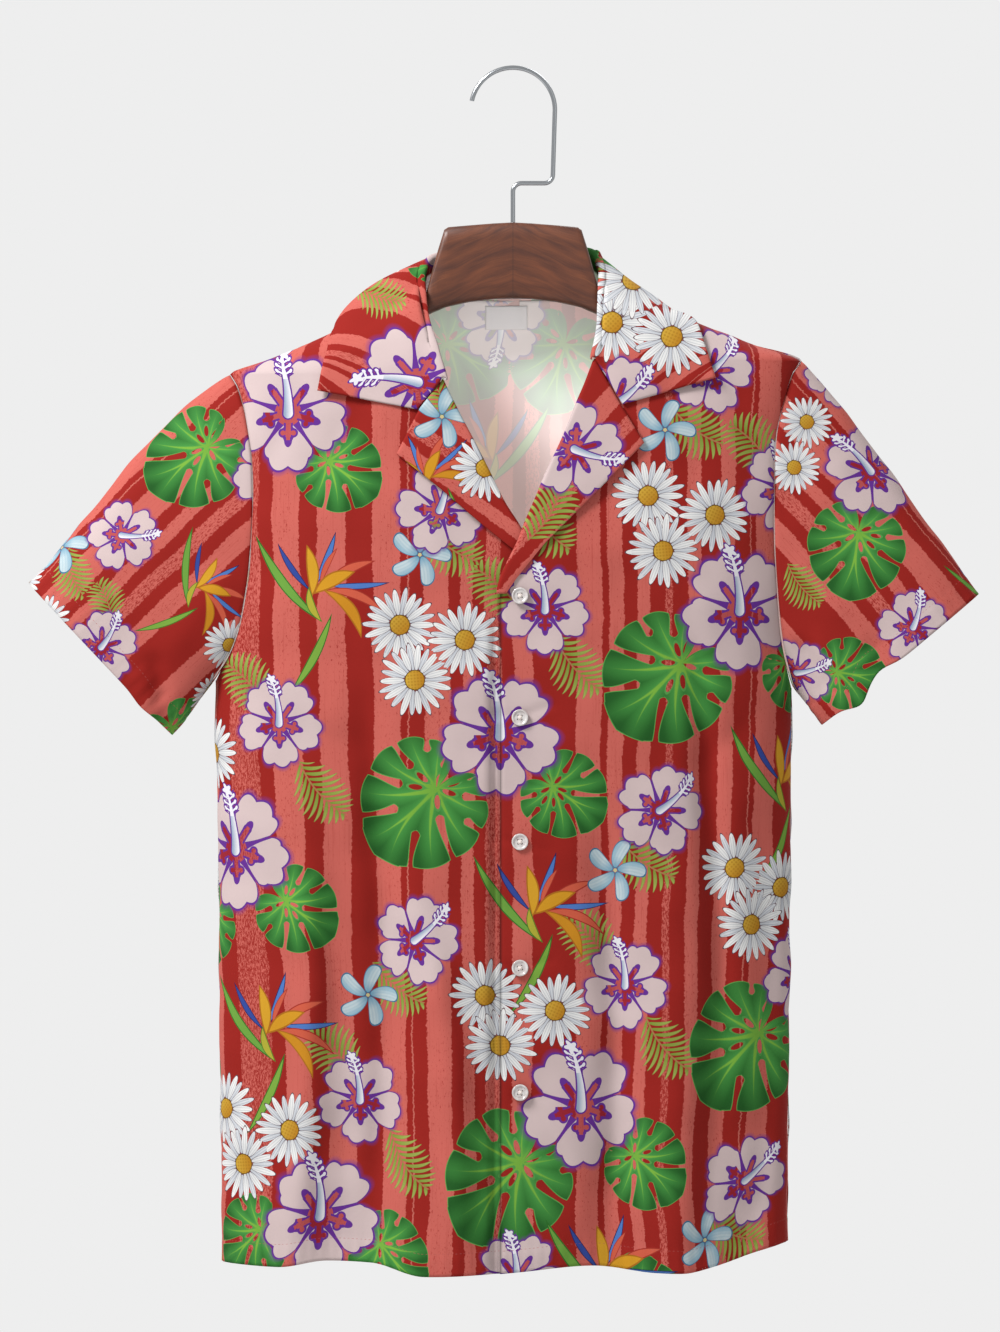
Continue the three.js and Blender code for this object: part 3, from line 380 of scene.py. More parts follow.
def run_along(grid, axis):
    """The distance along a line of points, or along each row or column of a grid of them."""
    steps = np.linalg.norm(np.diff(grid, axis=axis), axis=-1)
    start = np.zeros_like(np.take(steps, [0], axis=axis))
    return np.concatenate([start, np.cumsum(steps, axis=axis)], axis=axis)


def grid_normals(grid, ring=False):
    if ring:
        across = np.roll(grid, -1, axis=1) - np.roll(grid, 1, axis=1)
    else:
        across = np.gradient(grid, axis=1)
    return unit(np.cross(across, np.gradient(grid, axis=0)))


# Cloth relief: the same small unevenness on every sheet, and what sewing does to its edges
# wave length, direction in degrees, height, start
UNEVEN = [
    (96, 18, 0.42, 0.4), (71, 104, 0.36, 2.1), (53, 63, 0.26, 4.0), (41, 151, 0.2, 1.2),
    (29, 84, 0.1, 3.3), (23, 12, 0.08, 5.2),
]
PUCKER_LENGTH = 9.5
PUCKER_HEIGHT = 0.3
# How unevenly the puckers come, and over what length
PUCKER_DRIFT = (1.7, 23)
# Where they are highest and how far they reach, as shares of the hem's depth
PUCKER_MIDDLE, PUCKER_REACH = 0.6, 0.7
STITCH_GROOVE = 0.35
STITCH_GROOVE_WIDTH = 1.4


def uneven(u, v):
    total = np.zeros_like(u)
    for length, direction, height, start in UNEVEN:
        way = math.radians(direction)
        total += height * np.sin(2 * math.pi * (u * math.cos(way) + v * math.sin(way)) / length + start)
    return total


def moved(grid, normals, by):
    return grid + normals * np.asarray(by)[..., None]


def edge_distance(grid, edge):
    """How far along the sheet each point is from one of its edges: foot, head, first or last."""
    axis = 0 if edge in ("foot", "head") else 1
    run = run_along(grid, axis)
    if edge in ("head", "last"):
        run = np.take(run, [-1], axis=axis) - run
    return run


def sewn(grid, normals, u, v, seams, hems):
    """Cloth relief: seams dip, a turned hem stands out to its stitching and puckers there."""
    out = uneven(u, v)
    for edge in seams:
        distance = edge_distance(grid, edge)
        out = out - SEAM_DIP * np.exp(-((distance / SEAM_SOFT) ** 2))
    for edge, along in hems.items():
        distance = edge_distance(grid, edge)
        out = out + HEM_STANDS_OUT * (1 - ease((distance - HEM_DEEP) / HEM_FADE))
        groove = np.exp(-(((distance - HEM_DEEP) / STITCH_GROOVE_WIDTH) ** 2))
        out = out - STITCH_GROOVE * groove
        drift = PUCKER_DRIFT[0] * np.sin(along / PUCKER_DRIFT[1])
        ripple = np.sin(2 * math.pi * along / PUCKER_LENGTH + drift)
        near = np.exp(-(((distance - HEM_DEEP * PUCKER_MIDDLE) / (HEM_DEEP * PUCKER_REACH)) ** 2))
        out = out + PUCKER_HEIGHT * ripple * near
    return moved(grid, normals, out)


def thick(distance_to_hems):
    extra = sum(1 - ease((d - HEM_DEEP) / HEM_FADE) for d in distance_to_hems)
    return CLOTH + HEM_EXTRA * extra


# Each sheet of cloth, before it is made: its two layers, where its print lies and which way it faces
class Sheet:
    def __init__(self, outer, inner, cloth, plan, faces_back=None, pale=None):
        self.outer = outer
        self.inner = inner
        self.cloth = cloth
        self.plan = plan
        self.back = np.zeros(outer.shape[:2], bool) if faces_back is None else faces_back
        self.pale = np.zeros(outer.shape[:2]) if pale is None else pale
        self.lap = np.zeros(outer.shape[:2])


def drawn_in(grid, edge, by):
    """Moves one edge column or row in along the sheet, for the gap at a seam."""
    index = {"foot": (0, 1), "head": (-1, -2)}.get(edge)
    if index:
        step = unit(grid[index[1]] - grid[index[0]])
        grid[index[0]] += step * by
        return
    first, second = (0, 1) if edge == "first" else (-1, -2)
    grid[:, first] += unit(grid[:, second] - grid[:, first]) * by


def front_sheet(side):
    levels = side_levels(side)
    edge = angle_at(FRONT, EDGE[side](levels), levels)
    angles = even_rows(edge, outer_angles(side, FRONT, levels), levels, FRONT_COLUMNS)
    z = np.broadcast_to(levels[:, None], angles.shape)
    surface = panel_point(FRONT, side, angles, z)
    u = surface[:, :1, 0] + side * run_along(surface, 1)
    v = z.copy()
    normals = body_normal(angles, z)
    outer = sewn(surface, normals, u, v, ("last", "head"), {"foot": u})
    if side == RIGHT:
        at, width, depth = TUCK
        below_break = ease((FRONT_EDGE[LEFT][1][0] - z) / TUCK_FADE)
        tuck = np.exp(-(((surface[..., 0] - at) / width) ** 2)) * below_break
        outer = moved(outer, normals, -depth * tuck)
    front_edge = edge_distance(surface, "first")
    outer = moved(outer, normals, -EDGE_DROP * np.exp(-((front_edge / EDGE_SOFT) ** 2)))
    drawn_in(outer, "last", SEAM_GAP / 2)
    inner = moved(outer, normals, -thick([edge_distance(surface, "foot")]))
    sheet = Sheet(outer, inner, np.stack([u, v], -1), np.stack([u, v], -1))
    sheet.lap = LAP_SHADE - np.abs(surface[..., 0] - EDGE[LEFT](z))
    return sheet


def back_sheet():
    right, left = side_levels(RIGHT), side_levels(LEFT)
    rows = np.arange(len(right))
    from_seam = (rows - HOLE_STOP) / SHOULDER_ROWS
    dip = NECK_DIP * ease(from_seam * NECK_DIP_GROWS + NECK_DIP_START)
    start = outer_angles(RIGHT, BACK, right)
    stop = outer_angles(LEFT, BACK, left)
    angles = even_rows(start, stop, (right + left) / 2, BACK_COLUMNS)
    share = np.linspace(0, 1, BACK_COLUMNS + 1)
    z = right[:, None] + (left - right)[:, None] * share - dip[:, None] * (1 - (2 * share - 1) ** 2)
    surface = body_point(angles, z)
    run = run_along(surface, 1)
    middle = np.array([np.interp(0, x, r) for x, r in zip(surface[..., 0], run)])
    u = middle[:, None] - run
    normals = body_normal(angles, z)
    outer = sewn(surface, normals, u, z, ("first", "last", "head"), {"foot": u})
    for edge in ("first", "last"):
        drawn_in(outer, edge, SEAM_GAP / 2)
    inner = moved(outer, normals, -thick([edge_distance(surface, "foot")]))
    coordinates = np.stack([u, z], -1)
    return Sheet(outer, inner, coordinates, coordinates, np.ones(u.shape, bool))


# Sleeve ends: top and underarm corner of each cuff, how deep it stands open, and how the head and
# the underarm bow out on the way
CUFF = {
    RIGHT: {"top": (-365.5, -387), "low": (-257, -502), "half": 29, "head": 8.5, "under": 5},
    LEFT: {"top": (352, -395), "low": (233.5, -494), "half": 29, "head": 3, "under": 2},
}
# How the edge of each cuff waves: share of the way from the top to the underarm, reach, outwards
CUFF_WAVES = {RIGHT: [(0.8, 0.07, 2.0)], LEFT: [(0.62, 0.08, -4.0), (0.8, 0.07, 6.5)]}
SLEEVE_ROWS = 72
CUFF_ROUNDING = 2.5
CUFF_FORWARD = -4
# The way a sleeve's head bows: outwards and up
HEAD_BOWS = (0.75, 0.66)
# Brings the highest point of w(1 - w)(1 - w) to 1
BOW_PEAK = 6.75
# A sleeve's cloth is seen from the front where its normal points forward by more than this
SEEN_FORWARD = 0.4
# How soon the front's creases give way to the back's round a sleeve
FACING_TURN = 1.2
# Creases of the sleeves in the front view, as for the body
SLEEVE_CREASES = [
    (FRONT, -271, -440, -262, -482, 7, -2.4), (FRONT, -285, -452, -272, -492, 8, 1.8),
    (FRONT, -244, -300, -300, -345, 16, -1.5), (FRONT, -215, -380, -262, -440, 14, 1.5),
    (FRONT, 212, -430, 238, -474, 7, -2.4), (FRONT, 226, -424, 250, -470, 7, 1.8),
    (FRONT, 268, -428, 276, -478, 8, -2), (FRONT, 250, -300, 296, -350, 15, -1.6),
    (FRONT, 215, -360, 250, -420, 12, 1.4), (BACK, -262, -400, -268, -476, 10, -2.2),
    (BACK, -240, -310, -300, -360, 15, -1.6), (BACK, 240, -410, 262, -474, 10, -2.2),
    (BACK, 246, -300, 300, -360, 15, 1.5),
]


def as_seen(flat, places, seen):
    """Flat coordinates turned, and mirrored where needed, to stand as the sheet does from the front."""
    here = flat[seen] - flat[seen].mean(axis=0)
    there = places[seen][:, [0, 2]]
    left, _, right = np.linalg.svd(here.T @ (there - there.mean(axis=0)))
    return flat @ (left @ right)


def sleeve_sheet(side):
    levels = side_levels(side)
    hole = slice(HOLE_START, HOLE_STOP + 1)
    angles = {face: outer_angles(side, face, levels)[hole] for face in (FRONT, BACK)}
    levels = levels[hole]
    turn = turns(ARMHOLE_ROWS)
    turn = np.concatenate([-turn[::-1], turn[1:]])
    angle = np.concatenate([angles[BACK], angles[FRONT][::-1][1:]])
    z = np.concatenate([levels, levels[::-1][1:]])
    armhole = body_point(angle, z)
    cuff = CUFF[side]
    top, low = np.array(cuff["top"], float), np.array(cuff["low"], float)
    c, s = np.cos(turn), np.sin(turn)
    along = 0.5 - 0.5 * np.sign(c) * np.abs(c) ** (2 / CUFF_ROUNDING)
    y = CUFF_FORWARD - cuff["half"] * np.sign(s) * np.abs(s) ** (2 / CUFF_ROUNDING)
    end = np.stack([mix(top[0], low[0], along), y, mix(top[1], low[1], along)], -1)
    outwards = unit(np.array([low[1] - top[1], 0, -(low[0] - top[0])]) * -side)
    for at, reach, out in CUFF_WAVES[side]:
        end = end + (out * np.exp(-(((along - at) / reach) ** 2)))[:, None] * outwards
    raised = np.array([side * HEAD_BOWS[0], 0, HEAD_BOWS[1]])
    w = np.linspace(0, 1, SLEEVE_ROWS + 1)[:, None]
    head = cuff["head"] * np.maximum(0, c) ** 2 * BOW_PEAK * w * (1 - w) ** 2
    under = cuff["under"] * np.maximum(0, -c) ** 3 * BOW_PEAK * w * w * (1 - w)
    grid = armhole + (end - armhole) * w[..., None]
    grid = grid + head[..., None] * raised - under[..., None] * outwards
    axis = unit(end.mean(axis=0) - armhole.mean(axis=0))
    v = -(grid - armhole.mean(axis=0)) @ axis
    steps = np.diff(grid, axis=1)
    steps = steps - (steps @ axis)[..., None] * axis
    run = np.cumsum(np.linalg.norm(steps, axis=-1), axis=1)
    run = np.concatenate([np.zeros((len(run), 1)), run], axis=1)
    across = unit(np.cross(axis, (0, 1.0, 0)))
    across = across * np.sign(across[2])
    front_middle = ARMHOLE_ROWS + int(np.argmin(np.abs(turns(ARMHOLE_ROWS) - math.pi / 2)))
    height = (grid[:, front_middle] - armhole.mean(axis=0)) @ across
    u = run - run[:, front_middle : front_middle + 1] - height[:, None]
    normals = grid_normals(grid)
    middle = grid.mean(axis=1, keepdims=True)
    if np.mean(np.sum(normals * (grid - middle), axis=-1)) < 0:
        normals = -normals
    x, high = grid[..., 0], grid[..., 2]
    front = fold_height(FRONT, x, high, [], SLEEVE_CREASES)
    back = fold_height(BACK, x, high, [], SLEEVE_CREASES)
    facing = ease(0.5 - normals[..., 1] * FACING_TURN)
    grid = moved(grid, normals, mix(back, front, facing))
    outer = sewn(grid, normals, u, v, ("foot", "first", "last"), {"head": u})
    for edge in ("foot", "first", "last"):
        drawn_in(outer, edge, SEAM_GAP / 2)
    inner = moved(outer, normals, -thick([edge_distance(grid, "head")]))
    coordinates = np.stack([u, v], -1)
    plan = as_seen(coordinates, outer, normals[..., 1] < -SEEN_FORWARD)
    return Sheet(outer, inner, coordinates, plan, normals[..., 1] > 0)


# Lapels: the roll line is the front edge above the break; these are the cut edges in the front view
LAPEL = {
    RIGHT: {
        "roll": (-381, -237.4),
        "notch": (-69.8, -257.2),
        "cut": [(16.5, -381.5), (3, -365), (-23.3, -344), (-54.8, -317), (-87.2, -291.4)],
        "stripes": -35,
    },
    LEFT: {
        "roll": (-396, -222.4),
        "notch": (80.2, -253.9),
        "cut": [(-5.3, -396), (3, -384), (23.3, -359), (65.2, -317), (98.1, -283)],
        "stripes": 47,
    },
}
LAPEL_ROWS = 84
LAPEL_COLUMNS = 44
LAPEL_ROLL_COLUMNS = 12
NOTCH_SHARE = 0.375
ROLL_RADIUS = 2.1
ROLL_GAP = 1.0
LAPEL_LIES_AT = 3.2
LAPEL_LIES_AT_FOOT = 1.7
LAPEL_TUCKS_UNDER = -0.7
# The share of the columns from which a row's run off the roll line is taken
LAPEL_RUN_PART = 8
LAPEL_RELIEF, LAPEL_EDGE_DROP = 0.7, 0.45
LAPEL_CLOTH = 1.3
LAPEL_EDGE = 1.5


def along_line(points, share):
    points = np.array(points, float)
    run = run_along(points, 0)
    at = np.asarray(share) * run[-1]
    return np.stack([np.interp(at, run, points[:, 0]), np.interp(at, run, points[:, 1])], -1)


def lapel_sheet(side):
    shape = LAPEL[side]
    v = np.linspace(0, 1, LAPEL_ROWS + 1)[:, None]
    r = np.linspace(0, 1, LAPEL_COLUMNS + 1)[None, :]
    foot, top = shape["roll"]
    roll_z = mix(foot, top, v)
    roll = np.stack([EDGE[side](roll_z), roll_z], -1)
    cut = along_line(shape["cut"], v)
    gorge = np.array([float(EDGE[side](top)), top])
    corner = np.array(shape["cut"][-1], float)
    notch = np.array(shape["notch"], float)
    near = gorge + (notch - gorge) * (r / NOTCH_SHARE)[..., None]
    far = notch + (corner - notch) * ((r - NOTCH_SHARE) / (1 - NOTCH_SHARE))[..., None]
    head = np.where((r <= NOTCH_SHARE)[..., None], near, far)
    straight = gorge + (corner - gorge) * r[..., None]
    place = roll + (cut - roll) * r[..., None] + (v**3)[..., None] * (head - straight)
    first_step = place[:, 1:2] - place[:, 0:1]
    span = np.linalg.norm(first_step, axis=-1) * LAPEL_COLUMNS / LAPEL_RUN_PART
    step = first_step * LAPEL_COLUMNS / LAPEL_RUN_PART
    radius = np.minimum(ROLL_RADIUS, span * 2)
    lies = mix(LAPEL_LIES_AT_FOOT, LAPEL_LIES_AT, ease(v * 4))
    turn = -math.pi / 2 + math.pi * np.arange(LAPEL_ROLL_COLUMNS)[None, :] / LAPEL_ROLL_COLUMNS
    back = (ROLL_GAP + radius * np.cos(turn)) / span
    rolled = place[:, 0:1] - step * back[..., None]
    out = mix(LAPEL_TUCKS_UNDER, lies, (1 + np.sin(turn)) / 2)
    place = np.concatenate([rolled, place], axis=1)
    out = np.concatenate([out, np.broadcast_to(lies, (len(v), LAPEL_COLUMNS + 1))], axis=1)
    x, z = place[..., 0], place[..., 1]
    grid = panel_point(FRONT, side, angle_at(FRONT, x, z), z, out)
    normals = grid_normals(grid)
    if np.mean(normals[:, -10:, 1]) > 0:
        normals = -normals
    way = math.radians(shape["stripes"])
    u = -(x - notch[0]) * math.sin(way) + (z - notch[1]) * math.cos(way)
    w = x * math.cos(way) + z * math.sin(way)
    relief = uneven(u, w) * LAPEL_RELIEF
    for edge in ("last", "head"):
        relief = relief - LAPEL_EDGE_DROP * np.exp(-((edge_distance(grid, edge) / LAPEL_EDGE) ** 2))
    middle = moved(grid, normals, relief)
    half = LAPEL_CLOTH / 2
    outer, inner = moved(middle, normals, half), moved(middle, normals, -half)
    return Sheet(outer, inner, np.stack([u, w], -1), np.stack([x, z], -1))


# Collar sections from each front end to the middle of the back: x, y and z on the neck seam, at the
# fold and at the outer edge, and how far the fall bows out between them
COLLAR = {
    RIGHT: [
        (-51.6, -42, -234.4, -52, -45.5, -233.6, -146.7, -42, -243, 0),
        (-61, -34, -215, -58.5, -38.5, -210.5, -142.5, -35, -222, 4),
        (-69, -24.5, -191, -66, -24, -184, -137, -18, -206, 10),
        (-73, -6, -169.5, -69, -4, -155, -132.5, 1, -192.5, 12),
        (-65, 17, -171, -62.5, 14, -140, -116, 28, -204, 11),
        (-38, 25, -172, -37, 26, -134, -68, 43, -208, 8),
        (0, 27, -173, 0, 30, -130, 0, 46, -203, 5),
    ],
    LEFT: [
        (60, -38.5, -218.8, 60.4, -42, -218, 152.2, -38, -233.2, 0),
        (66.6, -31, -202, 64.8, -34, -199, 145.5, -31, -214, 4),
        (71, -20, -183, 66, -21, -174, 138, -16, -198, 6),
        (73, -5, -169.5, 67, -3, -151, 128, 1, -188, 4),
        (65, 17, -171, 60, 14, -136, 110, 28, -201, 5),
        (38, 25, -172, 36, 26, -132, 68, 43, -206, 8),
        (0, 27, -173, 0, 30, -130, 0, 46, -203, 5),
    ],
}
COLLAR_HALF_ROWS = 90
STAND_COLUMNS = 12
COLLAR_ROLL_COLUMNS = 10
FALL_COLUMNS = 48
COLLAR_NOTCH_SHARE = 0.25
COLLAR_CLEARANCE = 2.2
GORGE_GAP = 1.4
NOTCH_FADE = 1.3
COLLAR_CLOTH = 1.6
COLLAR_RELIEF, COLLAR_EDGE_DROP = 0.8, 0.5
# The stand ends this share of the way up, where the roll begins
STAND_SHARE = 0.8
# The fall bows away from a line inside the neck: its share of the width, and its level
BOW_FROM = (0.35, -230.0)
# The left end lies over the lapped front, a little further off
LEFT_CLEARANCE = 0.6
# From here back the collar is out of the front view
COLLAR_BACK_FROM = 8
# How the stripes lean across the fall, sideways for each step out
COLLAR_SKEW = {RIGHT: -0.8, LEFT: -0.85}


# Above the neckline the body's section narrows by this for each step up, down to this half-width
NECK_TAPER = 2.2
NARROWEST = 8


def outside(p):
    """How far points lie outside the body's surface, and which way is out."""

    def value(x, y, z):
        right, front = x < 0, y < 0
        top = np.where(right, SIDE_LINE[RIGHT][0][0], SIDE_LINE[LEFT][0][0])
        beyond = np.maximum(0, z - top) * NECK_TAPER
        half = np.maximum(NARROWEST, half_width(right, z) - beyond)
        stands = stands_out(front, x, z)
        return (np.abs(x) / half) ** SIDE_ROUNDING + (np.abs(y) / stands) ** FACE_ROUNDING - 1

    x, y, z = p[..., 0], p[..., 1], p[..., 2]
    step = 0.5
    slope = np.stack(
        [
            value(x + step, y, z) - value(x - step, y, z),
            value(x, y + step, z) - value(x, y - step, z),
            value(x, y, z + step) - value(x, y, z - step),
        ],
        -1,
    ) / (2 * step)
    steep = np.maximum(1e-4, np.linalg.norm(slope, axis=-1))
    return value(x, y, z) / steep, slope / steep[..., None]


def kept_clear(p, clearance):
    for _ in range(4):
        distance, out = outside(p)
        p = p + out * (np.maximum(0, clearance - distance) * 0.8)[..., None]
    return p


def collar_half(side):
    count = len(COLLAR[side])
    places = np.linspace(0, count - 1, COLLAR_HALF_ROWS + 1)
    rows = [(i, *row) for i, row in enumerate(COLLAR[side])]
    columns = np.stack([table_line(rows, k)(places) for k in range(1, 11)], -1)
    seam, fold, edge, crown = columns[:, 0:3], columns[:, 3:6], columns[:, 6:9], columns[:, 9]
    over = edge - fold
    over[:, 2] = 0
    over = unit(over)
    up = np.array([0, 0, 1.0])
    radius = ROLL_RADIUS + 0.4
    inside = fold - over * radius - up * radius
    begin = fold + over * radius - up * radius
    stand = np.linspace(0, STAND_SHARE, STAND_COLUMNS + 1)[None, :, None]
    stand = seam[:, None] + (inside - seam)[:, None] * stand
    turn = math.pi * (1 - np.arange(1, COLLAR_ROLL_COLUMNS)[None, :, None] / COLLAR_ROLL_COLUMNS)
    roll = fold[:, None] + over[:, None] * radius * np.cos(turn) + up * radius * (np.sin(turn) - 1)
    t = np.linspace(0, 1, FALL_COLUMNS + 1)[None, :]
    fall = begin[:, None] + (edge - begin)[:, None] * t[..., None]
    level = np.full(fall.shape[:2], BOW_FROM[1])
    bow = unit(fall - np.stack([fall[..., 0] * BOW_FROM[0], fall[..., 1], level], -1))
    fall = fall + bow * (crown[:, None] * 4 * t * (1 - t))[..., None]
    share = COLLAR_NOTCH_SHARE
    bend = np.where(t <= share, t / share, 1 - (t - share) / (1 - share))
    ended = np.maximum(0, 1 - places / NOTCH_FADE)[:, None]
    straight = fold[:, None] + (edge - fold)[:, None] * share
    notch_x, notch_z = LAPEL[side]["notch"]
    fall[..., 2] += bend * ended * (notch_z + GORGE_GAP - straight[..., 2])
    fall[..., 0] += bend * ended * (notch_x - straight[..., 0])
    fall = kept_clear(fall, COLLAR_CLEARANCE + (LEFT_CLEARANCE if side == LEFT else 0))
    return np.concatenate([stand, roll, fall], axis=1)


def collar_sheet():
    right, left = collar_half(RIGHT), collar_half(LEFT)
    grid = np.concatenate([right, left[::-1][1:]])
    normals = grid_normals(grid)
    if np.mean(normals[:20, -12:, 1]) > 0:
        normals = -normals
    fold_column = STAND_COLUMNS + COLLAR_ROLL_COLUMNS // 2
    across = run_along(grid, 1)
    across = across - across[:, fold_column : fold_column + 1]
    along = run_along(grid, 0)
    along = along[:, -20:-19]
    middle = along[COLLAR_HALF_ROWS]
    from_end = np.where(along < middle, along, along[-1:] - along)
    skew = np.where(np.arange(len(grid)) <= COLLAR_HALF_ROWS, COLLAR_SKEW[RIGHT], COLLAR_SKEW[LEFT])
    fade = 1 - ease(from_end / middle)
    u = from_end + skew[:, None] * fade * across
    relief = uneven(along + 0 * across, across) * COLLAR_RELIEF
    for edge in ("foot", "head", "last"):
        relief = relief - COLLAR_EDGE_DROP * np.exp(-((edge_distance(grid, edge) / LAPEL_EDGE) ** 2))
    middle_grid = moved(grid, normals, relief)
    half = COLLAR_CLOTH / 2
    outer, inner = moved(middle_grid, normals, half), moved(middle_grid, normals, -half)
    back = np.broadcast_to((grid[..., 1].mean(axis=1) > COLLAR_BACK_FROM)[:, None], u.shape)
    plan = np.stack([grid[..., 0], grid[..., 2]], -1)
    inside = (np.arange(grid.shape[1]) < STAND_COLUMNS - 2) * (grid[..., 1] > COLLAR_BACK_FROM)
    return Sheet(outer, inner, np.stack([u, across], -1), plan, back, pale=inside)


# The print. Each motif: how far it reaches in its own units, and the layer it is drawn in
MOTIFS = {
    "palm": 0.8,
    "monstera": 1.15,
    "strelitzia": 2.05,
    "plumeria": 1.12,
    "daisy": 1.1,
    "daisy_over": 1.1,
    "hibiscus": 1.3,
}
BIG, MIDDLING, SMALL, SLEEVE_SMALL = 42.0, 33.0, 31.0, 25.0
PALM, BIG_LEAF, LEAF, SPIKES, STAR, DAISY = 52.0, 58.5, 39.0, 45.0, 23.0, 28.0
SLEEVE_SPIKES, SLEEVE_DAISY, SLEEVE_LEAF = 33.0, 20.5, 44.0

# One repeat: motif, where it lies from the big hibiscus in millimetres (right, up), turn, size
REPEAT = [
    ("hibiscus", 0, 0, 0, BIG),
    ("monstera", -60, -52, 225, BIG_LEAF),
    ("monstera", 49, -45, -35, LEAF),
    ("hibiscus", -64, -154, -55, MIDDLING),
    ("palm", -76, -202, -35, PALM),
    ("plumeria", -99, -195, 0, STAR),
    ("strelitzia", 30, -124, 0, SPIKES),
    ("daisy", -11, -195, 0, DAISY),
    ("daisy_over", 41, -206, 20, DAISY),
    ("daisy_over", 0, -232, 50, DAISY),
    ("hibiscus", 26, 98, 0, SMALL),
    ("palm", 56, 56, -50, PALM),
    ("palm", 0, 131, 135, PALM),
]
REPEAT_STEP = ((67.5, -285.0), (-199.0, -86.0))
REPEAT_START = (-10.0, -500.0)
# Repeats each way, how far past a sheet's edge they still count, and every how many points are looked at
REPEATS, REPEAT_PAST, REPEAT_LOOKS_AT = 12, 60, 4
# The corner value where no motif of a kind lies, and the step between motifs' seeds
NO_MOTIF = (9.0, 9.0, 0.0)
SEED_STEP = 0.618

